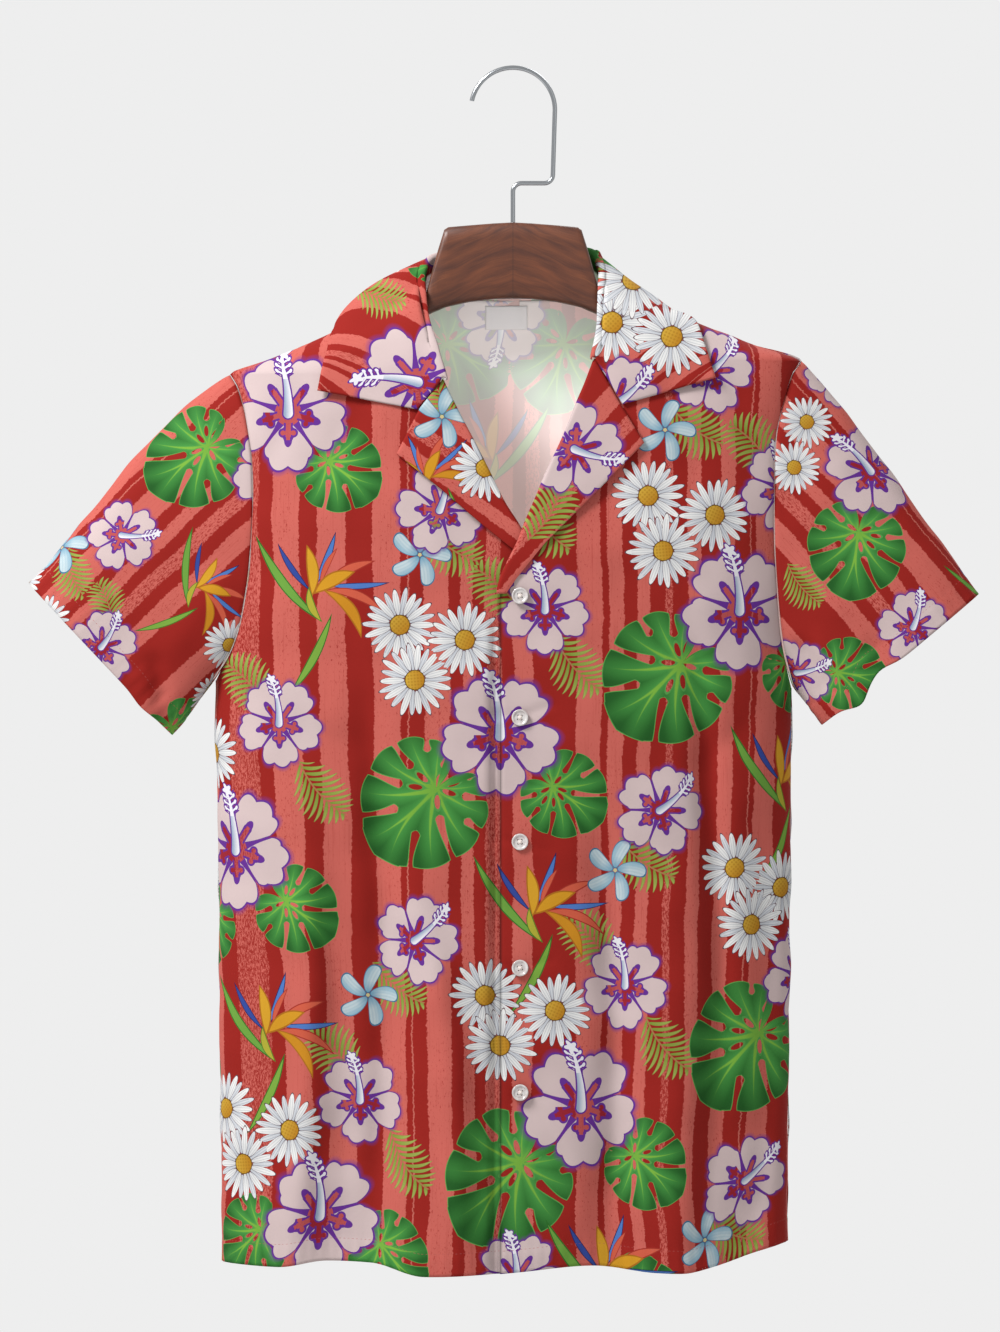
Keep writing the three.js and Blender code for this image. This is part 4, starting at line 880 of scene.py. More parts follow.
# Motifs as the photograph places them, in its pixels: motif, x, y, turn, size
PRINT = {
    "front": [
        ("hibiscus", 288, 412, 0, BIG), ("hibiscus", 500, 735, 0, BIG), ("hibiscus", 235, 850, 0, BIG),
        ("hibiscus", 740, 610, 0, BIG), ("hibiscus", 581, 1106, 0, BIG), ("hibiscus", 320, 1215, 0, BIG),
        ("hibiscus", 279, 723, 0, SMALL), ("hibiscus", 415, 940, -55, MIDDLING * 0.95),
        ("hibiscus", 360, 1100, 0, SMALL), ("hibiscus", 625, 985, 0, SMALL),
        ("hibiscus", 660, 810, -55, MIDDLING * 0.95), ("hibiscus", 545, 610, 0, SMALL),
        ("hibiscus", 746, 1181, -60, MIDDLING), ("hibiscus", 440, 510, -20, SMALL),
        ("hibiscus", 711, 371, -50, MIDDLING * 0.9), ("hibiscus", 783, 488, 0, SMALL),
        ("monstera", 190, 455, 225, LEAF), ("monstera", 340, 470, -35, LEAF),
        ("monstera", 420, 805, 225, BIG_LEAF), ("monstera", 565, 795, -35, LEAF),
        ("monstera", 665, 680, 225, BIG_LEAF), ("monstera", 797, 670, -35, LEAF),
        ("monstera", 297, 910, -35, LEAF), ("monstera", 205, 925, 225, LEAF),
        ("monstera", 505, 1180, 225, BIG_LEAF), ("monstera", 645, 1165, -35, LEAF),
        ("monstera", 745, 1050, 225, BIG_LEAF), ("monstera", 250, 1240, 225, LEAF),
        ("monstera", 390, 1255, -35, LEAF), ("daisy", 400, 625, 0, DAISY),
        ("daisy_over", 465, 640, 20, DAISY), ("daisy_over", 415, 680, 50, DAISY),
        ("daisy", 485, 995, 0, DAISY), ("daisy_over", 555, 1010, 20, DAISY),
        ("daisy_over", 500, 1045, 50, DAISY), ("daisy", 648, 496, 0, DAISY),
        ("daisy_over", 715, 515, 20, DAISY), ("daisy_over", 663, 551, 50, DAISY),
        ("daisy", 735, 868, 0, DAISY), ("daisy_over", 752, 925, 20, DAISY),
        ("daisy", 225, 1110, 0, DAISY), ("daisy_over", 290, 1130, 20, DAISY),
        ("daisy_over", 243, 1165, 50, DAISY), ("daisy", 214, 753, 0, DAISY),
        ("daisy", 783, 888, 0, DAISY), ("hibiscus", 796, 978, 0, SMALL),
        ("hibiscus", 517, 1277, 0, SMALL), ("monstera", 642, 1298, 100, LEAF),
        ("plumeria", 420, 555, 0, STAR), ("plumeria", 615, 870, 0, STAR), ("plumeria", 368, 995, 0, STAR),
        ("plumeria", 665, 430, 0, STAR), ("plumeria", 705, 1240, 0, STAR), ("palm", 450, 545, -35, PALM),
        ("palm", 697, 428, -35, PALM), ("palm", 645, 860, -35, PALM), ("palm", 398, 985, -35, PALM),
        ("palm", 735, 1233, -35, PALM), ("palm", 247, 685, 135, PALM), ("palm", 320, 790, -50, PALM),
        ("palm", 575, 665, -50, PALM), ("palm", 590, 940, 135, PALM), ("palm", 665, 1045, -50, PALM),
        ("palm", 335, 1055, 135, PALM), ("palm", 405, 1160, -50, PALM), ("palm", 500, 590, 135, PALM),
        ("palm", 545, 525, -50, PALM), ("palm", 753, 445, 135, PALM), ("strelitzia", 308, 585, 0, SPIKES),
        ("strelitzia", 528, 905, 0, SPIKES), ("strelitzia", 261, 1025, 0, SPIKES),
        ("strelitzia", 778, 775, 0, SPIKES), ("strelitzia", 598, 1265, 0, SPIKES),
    ],
    "sleeve_right": [
        ("hibiscus", 121, 535, -98, SLEEVE_SMALL), ("hibiscus", 101, 647, -38, SLEEVE_SMALL),
        ("hibiscus", 276, 472, 0, SMALL), ("plumeria", 60, 547, 0, STAR),
        ("palm", 72, 572, -70, PALM * 0.8), ("palm", 105, 602, 110, PALM * 0.7),
        ("daisy", 23, 585, 0, SLEEVE_DAISY), ("daisy_over", 43, 621, 20, SLEEVE_DAISY),
        ("monstera", 192, 457, 215, SLEEVE_LEAF * 1.05), ("strelitzia", 198, 580, -42, SLEEVE_SPIKES),
        ("daisy", 229, 645, 0, SLEEVE_DAISY), ("daisy_over", 207, 690, 20, SLEEVE_DAISY),
        ("monstera", 172, 735, -60, LEAF),
    ],
    "sleeve_left": [
        ("hibiscus", 872, 470, 38, MIDDLING), ("hibiscus", 914, 627, -22, SLEEVE_SMALL),
        ("hibiscus", 798, 673, -80, SLEEVE_SMALL), ("hibiscus", 836, 374, 0, SLEEVE_SMALL),
        ("monstera", 857, 549, 263, SLEEVE_LEAF), ("monstera", 850, 674, -10, SLEEVE_SMALL * 1.3),
        ("daisy", 808, 421, 0, SLEEVE_DAISY), ("daisy_over", 795, 467, 20, SLEEVE_DAISY),
        ("strelitzia", 985, 590, 28, SLEEVE_SPIKES), ("palm", 803, 585, -50, PALM * 0.75),
    ],
    "back": [
        ("monstera", 461, 350, 215, LEAF * 1.2), ("monstera", 561, 357, 285, LEAF * 1.2),
        ("hibiscus", 501, 316, 180, SMALL), ("strelitzia", 497, 448, 0, SPIKES),
    ],
    "collar": [
        ("hibiscus", 417, 382, 77, BIG), ("hibiscus", 616, 404, -55, MIDDLING),
        ("palm", 378, 293, -20, PALM * 0.8), ("monstera", 437, 246, 100, SMALL),
        ("daisy", 612, 322, 0, DAISY * 1.08), ("daisy_over", 672, 336, 20, DAISY * 1.08),
        ("daisy_over", 634, 277, 40, DAISY * 1.08), ("palm", 600, 250, 60, PALM),
    ],
    "lapel_right": [
        ("strelitzia", 418, 483, 40, SPIKES * 0.8), ("plumeria", 442, 417, 0, STAR),
        ("palm", 440, 398, 120, PALM * 0.8), ("daisy", 485, 469, 0, DAISY * 0.9),
    ],
    "lapel_left": [
        ("hibiscus", 575, 450, -112, MIDDLING), ("palm", 548, 512, 60, PALM),
    ],
}


def nearest_facing(sheets, px, py):
    """Plan coordinates of the cloth seen at a pixel, or beside its nearest edge."""
    x, z = photo_x(px), photo_z(py)
    best = None
    for sheet in sheets:
        away = np.hypot(sheet.outer[..., 0] - x, sheet.outer[..., 2] - z)
        away = np.where(sheet.back, 1e6, away)
        at = np.unravel_index(np.argmin(away), away.shape)
        if best is None or away[at] < best[0]:
            beside = (x - sheet.outer[at][0], z - sheet.outer[at][2])
            best = (away[at], sheet.plan[at] + beside)
    return best[1]


def placed(sheets, table):
    """Motifs of a print table on a group of sheets: motif, plan coordinates, turn, size, on the back."""
    return [
        (kind, *nearest_facing(sheets, px, py), turn, size, False)
        for kind, px, py, turn, size in table
    ]


def repeated(sheet, skip_front):
    """The repeat laid over a sheet's plan, left out where the photograph's own motifs are."""
    flat = sheet.plan.reshape(-1, 2)
    low, high = flat.min(axis=0) - REPEAT_PAST, flat.max(axis=0) + REPEAT_PAST
    few = slice(None, None, REPEAT_LOOKS_AT)
    coarse = sheet.plan[few, few].reshape(-1, 2)
    hidden = sheet.back[few, few].reshape(-1)
    (ax, ay), (bx, by) = REPEAT_STEP
    found = []
    for i in range(-REPEATS, REPEATS + 1):
        for j in range(-REPEATS, REPEATS + 1):
            for kind, dx, dy, turn, size in REPEAT:
                a = REPEAT_START[0] + i * ax + j * bx + dx
                b = REPEAT_START[1] + i * ay + j * by + dy
                if not (low[0] < a < high[0] and low[1] < b < high[1]):
                    continue
                near = np.argmin(np.hypot(coarse[:, 0] - a, coarse[:, 1] - b))
                if skip_front and not hidden[near]:
                    continue
                found.append((kind, a, b, turn, size, True))
    return found


# The part of the back that shows through the neck opening: half-width, lowest level
NECK_VIEW = (110, -345)


def seen_inside(table):
    """Motifs of the back as they show on its wrong side through the neck, so mirrored."""
    return [(kind, -photo_x(px), photo_z(py), turn, size, True) for kind, px, py, turn, size in table]


def clear_of_neck(a, b):
    return abs(a) > NECK_VIEW[0] or b < NECK_VIEW[1]


def make_mesh(name, points, faces, flat_faces):
    mesh = bpy.data.meshes.new(name)
    mesh.vertices.add(len(points))
    mesh.vertices.foreach_set("co", (points * MM).astype(np.float32).ravel())
    mesh.loops.add(faces.size)
    mesh.loops.foreach_set("vertex_index", faces.astype(np.int32).ravel())
    mesh.polygons.add(len(faces))
    mesh.polygons.foreach_set("loop_start", np.arange(0, faces.size, 4, dtype=np.int32))
    mesh.polygons.foreach_set("use_smooth", ~flat_faces)
    mesh.update(calc_edges=True)
    mesh.validate()
    piece = bpy.data.objects.new(name, mesh)
    bpy.context.scene.collection.objects.link(piece)
    return piece


def signed_volume(points, faces):
    a, b, c, d = (points[faces[:, k]] for k in range(4))
    return np.sum(np.cross(a, b) * c) + np.sum(np.cross(a, c) * d)


def make_cloth(name, sheet, motifs, material):
    """A sheet as one closed mesh, its print's coordinates written at each face's corners."""
    rows, columns = sheet.outer.shape[:2]
    index = np.arange(rows * columns).reshape(rows, columns)
    under = index + rows * columns
    quads = np.stack([index[:-1, :-1], index[:-1, 1:], index[1:, 1:], index[1:, :-1]], -1).reshape(-1, 4)
    inside = quads[:, ::-1] + rows * columns
    rims = [
        np.stack([under[0, :-1], under[0, 1:], index[0, 1:], index[0, :-1]], -1),
        np.stack([index[-1, :-1], index[-1, 1:], under[-1, 1:], under[-1, :-1]], -1),
        np.stack([index[:-1, 0], index[1:, 0], under[1:, 0], under[:-1, 0]], -1),
        np.stack([under[:-1, -1], under[1:, -1], index[1:, -1], index[:-1, -1]], -1),
    ]
    faces = np.concatenate([quads, inside, *rims])
    flat_faces = np.arange(len(faces)) >= 2 * len(quads)
    points = np.concatenate([sheet.outer.reshape(-1, 3), sheet.inner.reshape(-1, 3)])
    if signed_volume(points, faces) < 0:
        faces = faces[:, ::-1]
    piece = make_mesh(name, points, faces, flat_faces)
    corners = faces.ravel()
    wrong = np.concatenate([sheet.pale.ravel().astype(float), np.ones(rows * columns)])
    cloth = np.concatenate([np.tile(sheet.cloth.reshape(-1, 2), (2, 1)), wrong[:, None]], axis=1)
    cloth = cloth[corners]
    cloth[np.repeat(flat_faces, 4), 2] = 0
    write_corners(piece.data, "cloth", cloth)
    lap = np.tile(sheet.lap.ravel(), 2)
    write_corners(piece.data, "lap", np.stack([lap, lap, lap], -1)[corners])
    plan = np.tile(sheet.plan.reshape(-1, 2), (2, 1))
    back = np.tile(sheet.back.reshape(-1), 2)
    middle = plan[faces].mean(axis=1)
    face_back = back[faces].mean(axis=1) > 0.5
    for kind, reach in MOTIFS.items():
        local = np.full((len(faces), 4, 3), NO_MOTIF)
        nearest = np.full(len(faces), reach)
        for number, (what, a, b, turn, size, on_back) in enumerate(motifs):
            if what != kind:
                continue
            away = np.hypot(middle[:, 0] - a, middle[:, 1] - b) / size
            better = (away < nearest) & (face_back == on_back)
            nearest[better] = away[better]
            way = math.radians(turn)
            off = (plan[faces[better]] - (a, b)) / size
            local[better, :, 0] = off[..., 0] * math.cos(way) + off[..., 1] * math.sin(way)
            local[better, :, 1] = off[..., 1] * math.cos(way) - off[..., 0] * math.sin(way)
            local[better, :, 2] = (number * SEED_STEP) % 1
        write_corners(piece.data, kind, local.reshape(-1, 3))
    piece.data.materials.append(material)
    return piece


def write_corners(mesh, name, values):
    attribute = mesh.attributes.new(name, "FLOAT_VECTOR", "CORNER")
    attribute.data.foreach_set("vector", values.astype(np.float32).ravel())


# Materials: a number worked out at each point of a surface, written as ordinary arithmetic
class Shade:
    def __init__(self, tree, socket):
        self.tree = tree
        self.socket = socket

    def math(self, operation, *others, clamp=False):
        node = self.tree.nodes.new("ShaderNodeMath")
        node.operation = operation
        node.use_clamp = clamp
        for slot, value in zip(node.inputs, (self, *others)):
            join(self.tree, value, slot)
        return Shade(self.tree, node.outputs[0])

    def times_plus(self, factor, plus):
        return self.math("MULTIPLY_ADD", factor, plus)

    def clamped(self):
        return self.math("ADD", 0.0, clamp=True)

    def __add__(self, other):
        return self.math("ADD", other)

    __radd__ = __add__

    def __mul__(self, other):
        return self.math("MULTIPLY", other)

    __rmul__ = __mul__

    def __sub__(self, other):
        return self.math("SUBTRACT", other)

    def __rsub__(self, other):
        return self.math("MULTIPLY_ADD", -1.0, other)

    def __truediv__(self, other):
        return self.math("DIVIDE", other)

    def __abs__(self):
        return self.math("ABSOLUTE")

    def __pow__(self, power):
        return self.math("POWER", power)

    def __lt__(self, other):
        return self.math("LESS_THAN", other)

    def __gt__(self, other):
        return self.math("GREATER_THAN", other)


def join(tree, value, slot):
    if isinstance(value, Shade):
        tree.links.new(value.socket, slot)
    else:
        slot.default_value = value


def colour(hexadecimal):
    """A colour written as in a paint chart, as the linear values a shader takes."""
    parts = [int(hexadecimal[k : k + 2], 16) / 255 for k in (0, 2, 4)]
    return (*(c / 12.92 if c < 0.04045 else ((c + 0.055) / 1.055) ** 2.4 for c in parts), 1.0)


def over(below, above, share):
    """One colour laid over another by a share of it."""
    tree = next(value.tree for value in (share, below, above) if isinstance(value, Shade))
    node = tree.nodes.new("ShaderNodeMix")
    node.data_type = "RGBA"
    join(tree, share, node.inputs["Factor"])
    join(tree, below, node.inputs[6])
    join(tree, above, node.inputs[7])
    return Shade(tree, node.outputs[2])


def bright(hexadecimal):
    """A white dye, paler than the cloth's own depth of dye would leave it."""
    return (*(value * WHITENED for value in colour(hexadecimal)[:3]), 1.0)


def attribute(tree, name):
    node = tree.nodes.new("ShaderNodeAttribute")
    node.attribute_type = "GEOMETRY"
    node.attribute_name = name
    split = tree.nodes.new("ShaderNodeSeparateXYZ")
    tree.links.new(node.outputs["Vector"], split.inputs[0])
    return [Shade(tree, s) for s in split.outputs]


def noise(place, detail, rough=0.5):
    """Noise at a place of three coordinates, its largest spots one unit wide."""
    tree = place[0].tree
    vector = tree.nodes.new("ShaderNodeCombineXYZ")
    for slot, value in zip(vector.inputs, place):
        join(tree, value, slot)
    node = tree.nodes.new("ShaderNodeTexNoise")
    tree.links.new(vector.outputs[0], node.inputs["Vector"])
    for name, value in (("Scale", 1.0), ("Detail", detail), ("Roughness", rough)):
        node.inputs[name].default_value = value
    return Shade(tree, node.outputs[0])


def turned(x, y, cx, cy, degrees, a=1.0, b=1.0):
    """Coordinates about a point, turned and divided by two half-sizes."""
    way = math.radians(degrees)
    c, s = math.cos(way), math.sin(way)
    along = x.times_plus(c / a, y.times_plus(s / a, -(cx * c + cy * s) / a))
    across = x.times_plus(-s / b, y.times_plus(c / b, (cx * s - cy * c) / b))
    return along, across


def round_off(x, y):
    """Distance from the middle of an oval, 1 on its edge."""
    return x.times_plus(x, y * y).math("SQRT")


def sectors(x, y, count, start):
    """Coordinates repeated round a flower: radius, angle from the petal's middle, the petal's number."""
    radius = round_off(x, y)
    share = y.math("ARCTAN2", x).times_plus(count / (2 * math.pi), -start * count / 360)
    number = share.math("ROUND")
    return radius, (share - number) * (2 * math.pi / count), number


def polar(radius, angle):
    return radius * angle.math("COSINE"), radius * angle.math("SINE")


# The purple line round a hibiscus petal, and how far its dark red eye reaches
HIBISCUS_LINE = "7436A6"
HIBISCUS_EYE = 0.24


def draw_hibiscus(tree, below):
    """Five pale scalloped petals round an open centre, a purple line about them, and a white pistil."""
    x, y, seed = attribute(tree, "hibiscus")
    radius, angle, number = sectors(x, y, 5, -90)
    side = abs(angle) * (5 / math.pi)
    scallop = abs((angle * 7.5 + number * 1.9 + seed * 6).math("SINE"))
    outer = radius - (0.97 - side**4 * 0.36 + scallop * 0.1)
    inwards = (radius.times_plus(-2.2, 1.36)).clamped()
    flank = inwards * inwards * 0.062 + 0.018 - (math.pi / 5 - abs(angle)) * radius
    rim = outer.math("MAXIMUM", flank)
    glow = (1 - rim * 8).clamped() * (radius < 1.22)
    result = over(below, colour("7A3E9C"), glow * 0.75)
    line = (rim < 0.03).math("MAXIMUM", (radius < 0.6) * (radius > HIBISCUS_EYE)) * (radius < 1.15)
    result = over(result, colour(HIBISCUS_LINE), line)
    inside = over(below, colour("B02A50"), 0.4)
    result = over(result, inside, radius < HIBISCUS_EYE)
    px, py = polar(radius, angle)
    shadow = (radius.times_plus(-1.6, 1.1)).clamped() * 0.5
    petal = over(colour("F2DAD8"), colour("DDBFCB"), shadow)
    result = over(result, petal, rim < -0.01)
    lower = abs(number) < 1.5
    ears = round_off(px - 0.37, abs(py) - 0.1) - 0.066 + (1 - lower) * 0.2
    tip = round_off((px - 0.5) * 0.6, py) - 0.058
    throat = (abs(py) - 0.066).math("MAXIMUM", px - 0.46).math("MAXIMUM", 0.1 - px)
    centre = ears.math("SMOOTH_MIN", tip, 0.05).math("SMOOTH_MIN", throat, 0.06)
    result = over(result, colour(HIBISCUS_LINE), (centre < 0.018) * (radius > 0.2))
    result = over(result, inside, (centre < -0.02) * (px < 0.5))
    along, across = turned(x, y, 0, 0, 90)
    across = across - along * along * 0.2 + along * 0.04
    nearest = along.math("MAXIMUM", -0.02).math("MINIMUM", 0.95)
    stalk = round_off(along - nearest, across) + nearest * 0.07 - 0.085
    lifted = along - abs(across) * 0.6
    step = ((lifted - 0.62) * (1 / 0.11)).math("FRACT")
    beyond = abs(lifted - 0.785) - 0.165
    arms = (abs(step - 0.5) * 0.11 - 0.018).math("MAXIMUM", abs(across) - 0.115)
    knob = round_off(step * 0.11 - 0.055, abs(across) - 0.125) - 0.032
    arms = arms.math("MINIMUM", knob).math("MAXIMUM", beyond)
    ball = round_off(along - 1.06, across)
    star = ball - 0.1 - (across.math("ARCTAN2", along - 1.06) * 5).math("SINE") * 0.028
    pistil = stalk.math("MINIMUM", arms).math("MINIMUM", star)
    result = over(result, colour(HIBISCUS_LINE), pistil < 0.028)
    white = over(bright("F8F6FB"), colour("AFC3DE"), (across * 9 + 0.5).clamped() * (along < 0.6))
    return over(result, white, pistil < 0.0)


# Daisy petals of the ring behind and the ring in front: turn, half-width, colour, its line's colour
DAISY_RINGS = [
    (16.4, 0.082, "E6E8EC", "9AA3B2"),
    (0.0, 0.092, "FDFCFA", "BFC4CC"),
]


def draw_daisy(tree, below, layer):
    """Two rings of eleven narrow petals about a golden disc."""
    x, y, seed = attribute(tree, layer)
    result = below
    for start, half, light, line in DAISY_RINGS:
        radius, angle, number = sectors(x, y, 11, start)
        length = (number * 2.3 + seed * 6 + start).math("SINE").times_plus(0.045, 0.37)
        px, py = polar(radius, angle)
        lean = py + (number * 4.1).math("SINE") * (px - 0.3) * 0.05
        shape = round_off((px - 0.58) / length, lean * (1 / half))
        shape = shape + (px - 0.75) * -0.22
        petal = over(bright(light), colour(line), (1.15 - px * 1.7).clamped() * 0.5)
        crease = (abs(abs(lean) - 0.034) < 0.009) * (px < 0.85)
        petal = over(petal, colour(line), crease * 0.55)
        result = over(result, colour("6E4A55"), shape < 1.05)
        result = over(result, petal, shape < 0.97)
    radius = round_off(x, y)
    dots = (x * 52).math("SINE") * (y * 52).math("SINE")
    glow = ((x * -0.9 + y * 0.9 + 0.35) * 1.5).clamped()
    disc = over(colour("D08C1C"), colour("EFC043"), glow)
    disc = over(disc, colour("B8801A"), (dots > 0.2) * 0.5)
    result = over(result, colour("7A5A14"), radius < 0.275)
    return over(result, disc, radius < 0.25)


def draw_plumeria(tree, below):
    """Five long rounded petals, each turned a little over the next."""
    x, y, _ = attribute(tree, "plumeria")
    radius = round_off(x, y)
    share = y.math("ARCTAN2", x) + radius * 0.35
    share = share.times_plus(5 / (2 * math.pi), -18 * 5 / 360)
    angle = (share - share.math("ROUND")) * (2 * math.pi / 5)
    px, py = polar(radius, angle)
    slender = py * (px.times_plus(-3.4, 6.2))
    shape = round_off(px.times_plus(1 / 0.5, -0.5 / 0.5), slender) - (px - 0.6) * 0.2
    petal = over(colour("DFF1F6"), colour("67A9CB"), (1.1 - radius * 2.3).clamped())
    petal = over(petal, colour("8FC3DC"), (py * 5 + 0.15).clamped() * 0.7)
    streak = (py * 60 + px * 3).math("SINE").times_plus(0.5, 0.5)
    petal = over(petal, colour("7DB5D3"), streak * 0.22)
    result = over(below, colour("4682A8"), shape < 1)
    result = over(result, petal, shape < 0.92)
    return over(result, colour("EBDDA0"), radius < 0.06)


# The angle that one lobe of a monstera leaf takes up
LOBE = 0.6


def draw_monstera(tree, below):
    """A heart-shaped leaf cut into lobes about the point where its stalk joins, its tip along x."""
    x, y, seed = attribute(tree, "monstera")
    x = x + 0.3
    radius = round_off(x, y)
    angle = y.math("ARCTAN2", x)
    spread = abs(angle) * (1 / math.pi)
    notch = (spread * 6 - 5).clamped()
    bent = abs(angle) - (radius - 0.4) * 0.24
    row = (bent * (1 / LOBE)).math("FRACT") - 0.5
    number = (bent * (1 / LOBE)).math("FLOOR")
    vein_row = (bent * (1 / LOBE) + 0.5).math("FRACT") - 0.5
    cut_rows = (bent > LOBE * 0.25) * (bent < math.pi - 0.5)
    reach = 1.2 - spread * 0.76 - notch * notch * 0.4 - vein_row * vein_row * cut_rows * 0.16
    between = abs(row) * LOBE * radius
    mixed = (number * 2.7 + (angle > 0) * 1.3 + seed * 5).math("SINE")
    inner = mixed * 0.12 + 0.5 - spread * 0.14
    run = ((radius - inner) / (reach - inner)).clamped()
    width = ((radius - inner) * 22).clamped().math("SQRT") * (run.times_plus(-0.052, 0.062) + run**6 * 0.03)
    slot = (between - width).math("MAXIMUM", inner - radius)
    slot = (1 - cut_rows) + slot * cut_rows
    hole = round_off((radius - inner + 0.17) * (1 / 0.09), between * (1 / 0.036)) - 1
    hole = hole * 0.03 + (1 - cut_rows * (mixed < 0.45))
    rim = (radius - reach).math("MAXIMUM", slot * -1).math("MAXIMUM", hole * -1)
    vein = abs(vein_row) * LOBE * radius
    light = (1 - vein * 6).clamped() * (1.3 - radius).clamped()
    green = over(colour("28702A"), colour("5DBB57"), light)
    green = over(green, colour("1E5A20"), ((radius - reach + 0.3) * 2.6).clamped() * 0.6)
    sheen = ((vein - 0.1) * 14 + radius * 3).math("SINE").times_plus(0.5, 0.5)
    green = over(green, colour("4DA84A"), sheen * 0.25)
    rib = ((reach * 0.88 - radius) * 0.045 + 0.002 - vein) * 60
    green = over(green, colour("93D048"), rib.clamped() * 0.9)
    green = over(green, colour("86C84A"), (1.25 - radius * 6).clamped() * 0.8)
    result = over(below, colour("62B257"), rim < 0)
    return over(result, green, rim < -0.012)


# Lance shapes of the bird-of-paradise flower: from, to, half-width, bow to the left of its run, its
# colour and its darker edge
LANCES = [
    ((-0.91, 0.83), (0.25, -0.62), 0.085, -0.12, "7DB84A", "2F7A2A"),
    ((0.41, -0.47), (-0.32, -1.83), 0.075, 0.08, "8DC04A", "2F7A2A"),
    ((0.05, -0.1), (-0.52, 0.7), 0.055, 0.05, "3C55B0", "20205C"),
    ((0.1, -0.05), (0.47, 0.89), 0.06, -0.03, "5C8CDC", "20205C"),
    ((0.3, 0.0), (1.38, 0.04), 0.055, -0.04, "5C8CDC", "20205C"),
    ((0.25, -0.05), (1.14, 0.4), 0.085, 0.08, "EC6A4E", "B8372A"),
    ((0.25, -0.1), (1.3, -0.5), 0.08, 0.14, "EC6A4E", "B8372A"),
    ((0.2, -0.02), (0.5, 0.62), 0.05, 0.04, "EC6A4E", "B8372A"),
    ((0.07, -0.2), (-0.02, 0.67), 0.105, -0.06, "F2B52E", "C47A1A"),
    ((0.1, -0.15), (0.8, 0.22), 0.12, 0.06, "F0AC26", "C47A1A"),
    ((0.25, -0.08), (0.9, -0.89), 0.1, 0.16, "E89E22", "C47A1A"),
    ((0.02, -0.02), (0.25, -0.62), 0.07, -0.08, "C8C23E", "5E8A2C"),
]


def draw_strelitzia(tree, below):
    """A bird-of-paradise flower: stalk, leaf, and a crest of yellow, red and blue."""
    x, y, _ = attribute(tree, "strelitzia")
    result = below
    for (ax, ay), (bx, by), half, bow, light, dark in LANCES:
        length = math.hypot(bx - ax, by - ay)
        degrees = math.degrees(math.atan2(by - ay, bx - ax))
        t, n = turned(x, y, ax, ay, degrees, length, 1.0)
        hump = t.times_plus(t * -4, t * 4)
        rim = abs(hump.times_plus(-bow, n)) - hump * half
        result = over(result, colour(dark), rim < 0)
        result = over(result, colour(light), rim < half * -0.22)
    return result


# Leaflets on each side of a palm frond
LEAFLETS = 11


def draw_palm(tree, below):
    """A feathery frond: thin curved leaflets on both sides of a bowed rib, its tip along x."""
    x, y, _ = attribute(tree, "palm")
    bent = y - (x * x) * 0.35 + 0.04
    side = abs(bent)
    root = x + 0.5 - side * 0.95 + side * side * 1.1
    row = root * LEAFLETS + (bent > 0) * 0.5
    leaf = abs(row.math("FRACT") - 0.5) * (1 / LEAFLETS)
    base = ((row.math("FLOOR") + 0.5) * (1 / LEAFLETS)).math("MAXIMUM", 0.001).math("MINIMUM", 0.999)
    reach = (base**0.7 * math.pi).math("SINE").math("MAXIMUM", 0.0) ** 0.6 * 0.4
    share = (side / (reach + 0.001)).math("MINIMUM", 1.0)
    slim = (1 - share) * share.math("SQRT") * 0.068 + 0.004
    inside = (leaf < slim) * (side < reach) * (root > 0) * (root < 1)
    olive = over(colour("8FA93C"), colour("BECB68"), share)
    olive = over(olive, colour("6F8230"), (leaf > slim - 0.005) * 0.6)
    result = over(below, olive, inside)
    rib = (side < 0.012) * (abs(x) < 0.5)
    return over(result, colour("C08A55"), rib)


# Stripes: where each begins across the front, in the photograph's pixels at the level of the third
# button, its colour (coral, dark or line) and how brushed it looks
STRIPES = [
    (150, "coral", 0.3), (176, "dark", 0.0), (190, "coral", 0.3), (218, "dark", 0.0), (232, "coral", 0.9),
    (262, "dark", 0.0), (277, "coral", 0.3), (304, "dark", 0.0), (322, "coral", 0.3), (350, "dark", 0.0),
    (376, "coral", 0.3), (401, "dark", 0.0), (407, "line", 0.0), (409, "dark", 0.0), (424, "coral", 0.3),
    (449, "dark", 0.0), (462, "coral", 0.4), (474, "dark", 0.0), (486, "coral", 0.7), (499, "dark", 0.0),
    (520, "coral", 0.3), (532, "dark", 0.3), (558, "dark", 0.0), (575, "coral", 0.3), (600, "dark", 0.0),
    (607, "coral", 0.3), (622, "dark", 0.0), (636, "coral", 0.3), (649, "dark", 0.0), (664, "coral", 0.9),
    (671, "dark", 0.0), (687, "coral", 0.3), (699, "dark", 0.0), (716, "coral", 0.3), (731, "dark", 0.0),
    (746, "line", 0.0), (748, "dark", 0.0), (752, "coral", 0.3), (774, "dark", 0.0), (792, "coral", 0.3),
    (820, "dark", 0.0), (840, "coral", 0.5),
]
STRIPE_COLOURS = {"coral": "EA7468", "dark": "B0241B", "line": "E2796B"}
STRIPE_LEVEL = -580
STRIPE_REACH = 270.0
STRIPE_SAMPLES = 1000


def stripe_places():
    """Each stripe's start as a distance across the cloth from the middle of the front."""
    angles = np.linspace(0, math.pi, 2 * STRIPE_SAMPLES + 1)
    points = body_point(angles, np.full(len(angles), float(STRIPE_LEVEL)))
    run = run_along(points, 0)
    across = run[STRIPE_SAMPLES] - run
    x = points[:, 0]
    order = np.argsort(x)
    middle = np.interp(0, x[order], across[order])
    return [np.interp(photo_x(px), x[order], across[order] - middle) for px, _, _ in STRIPES]


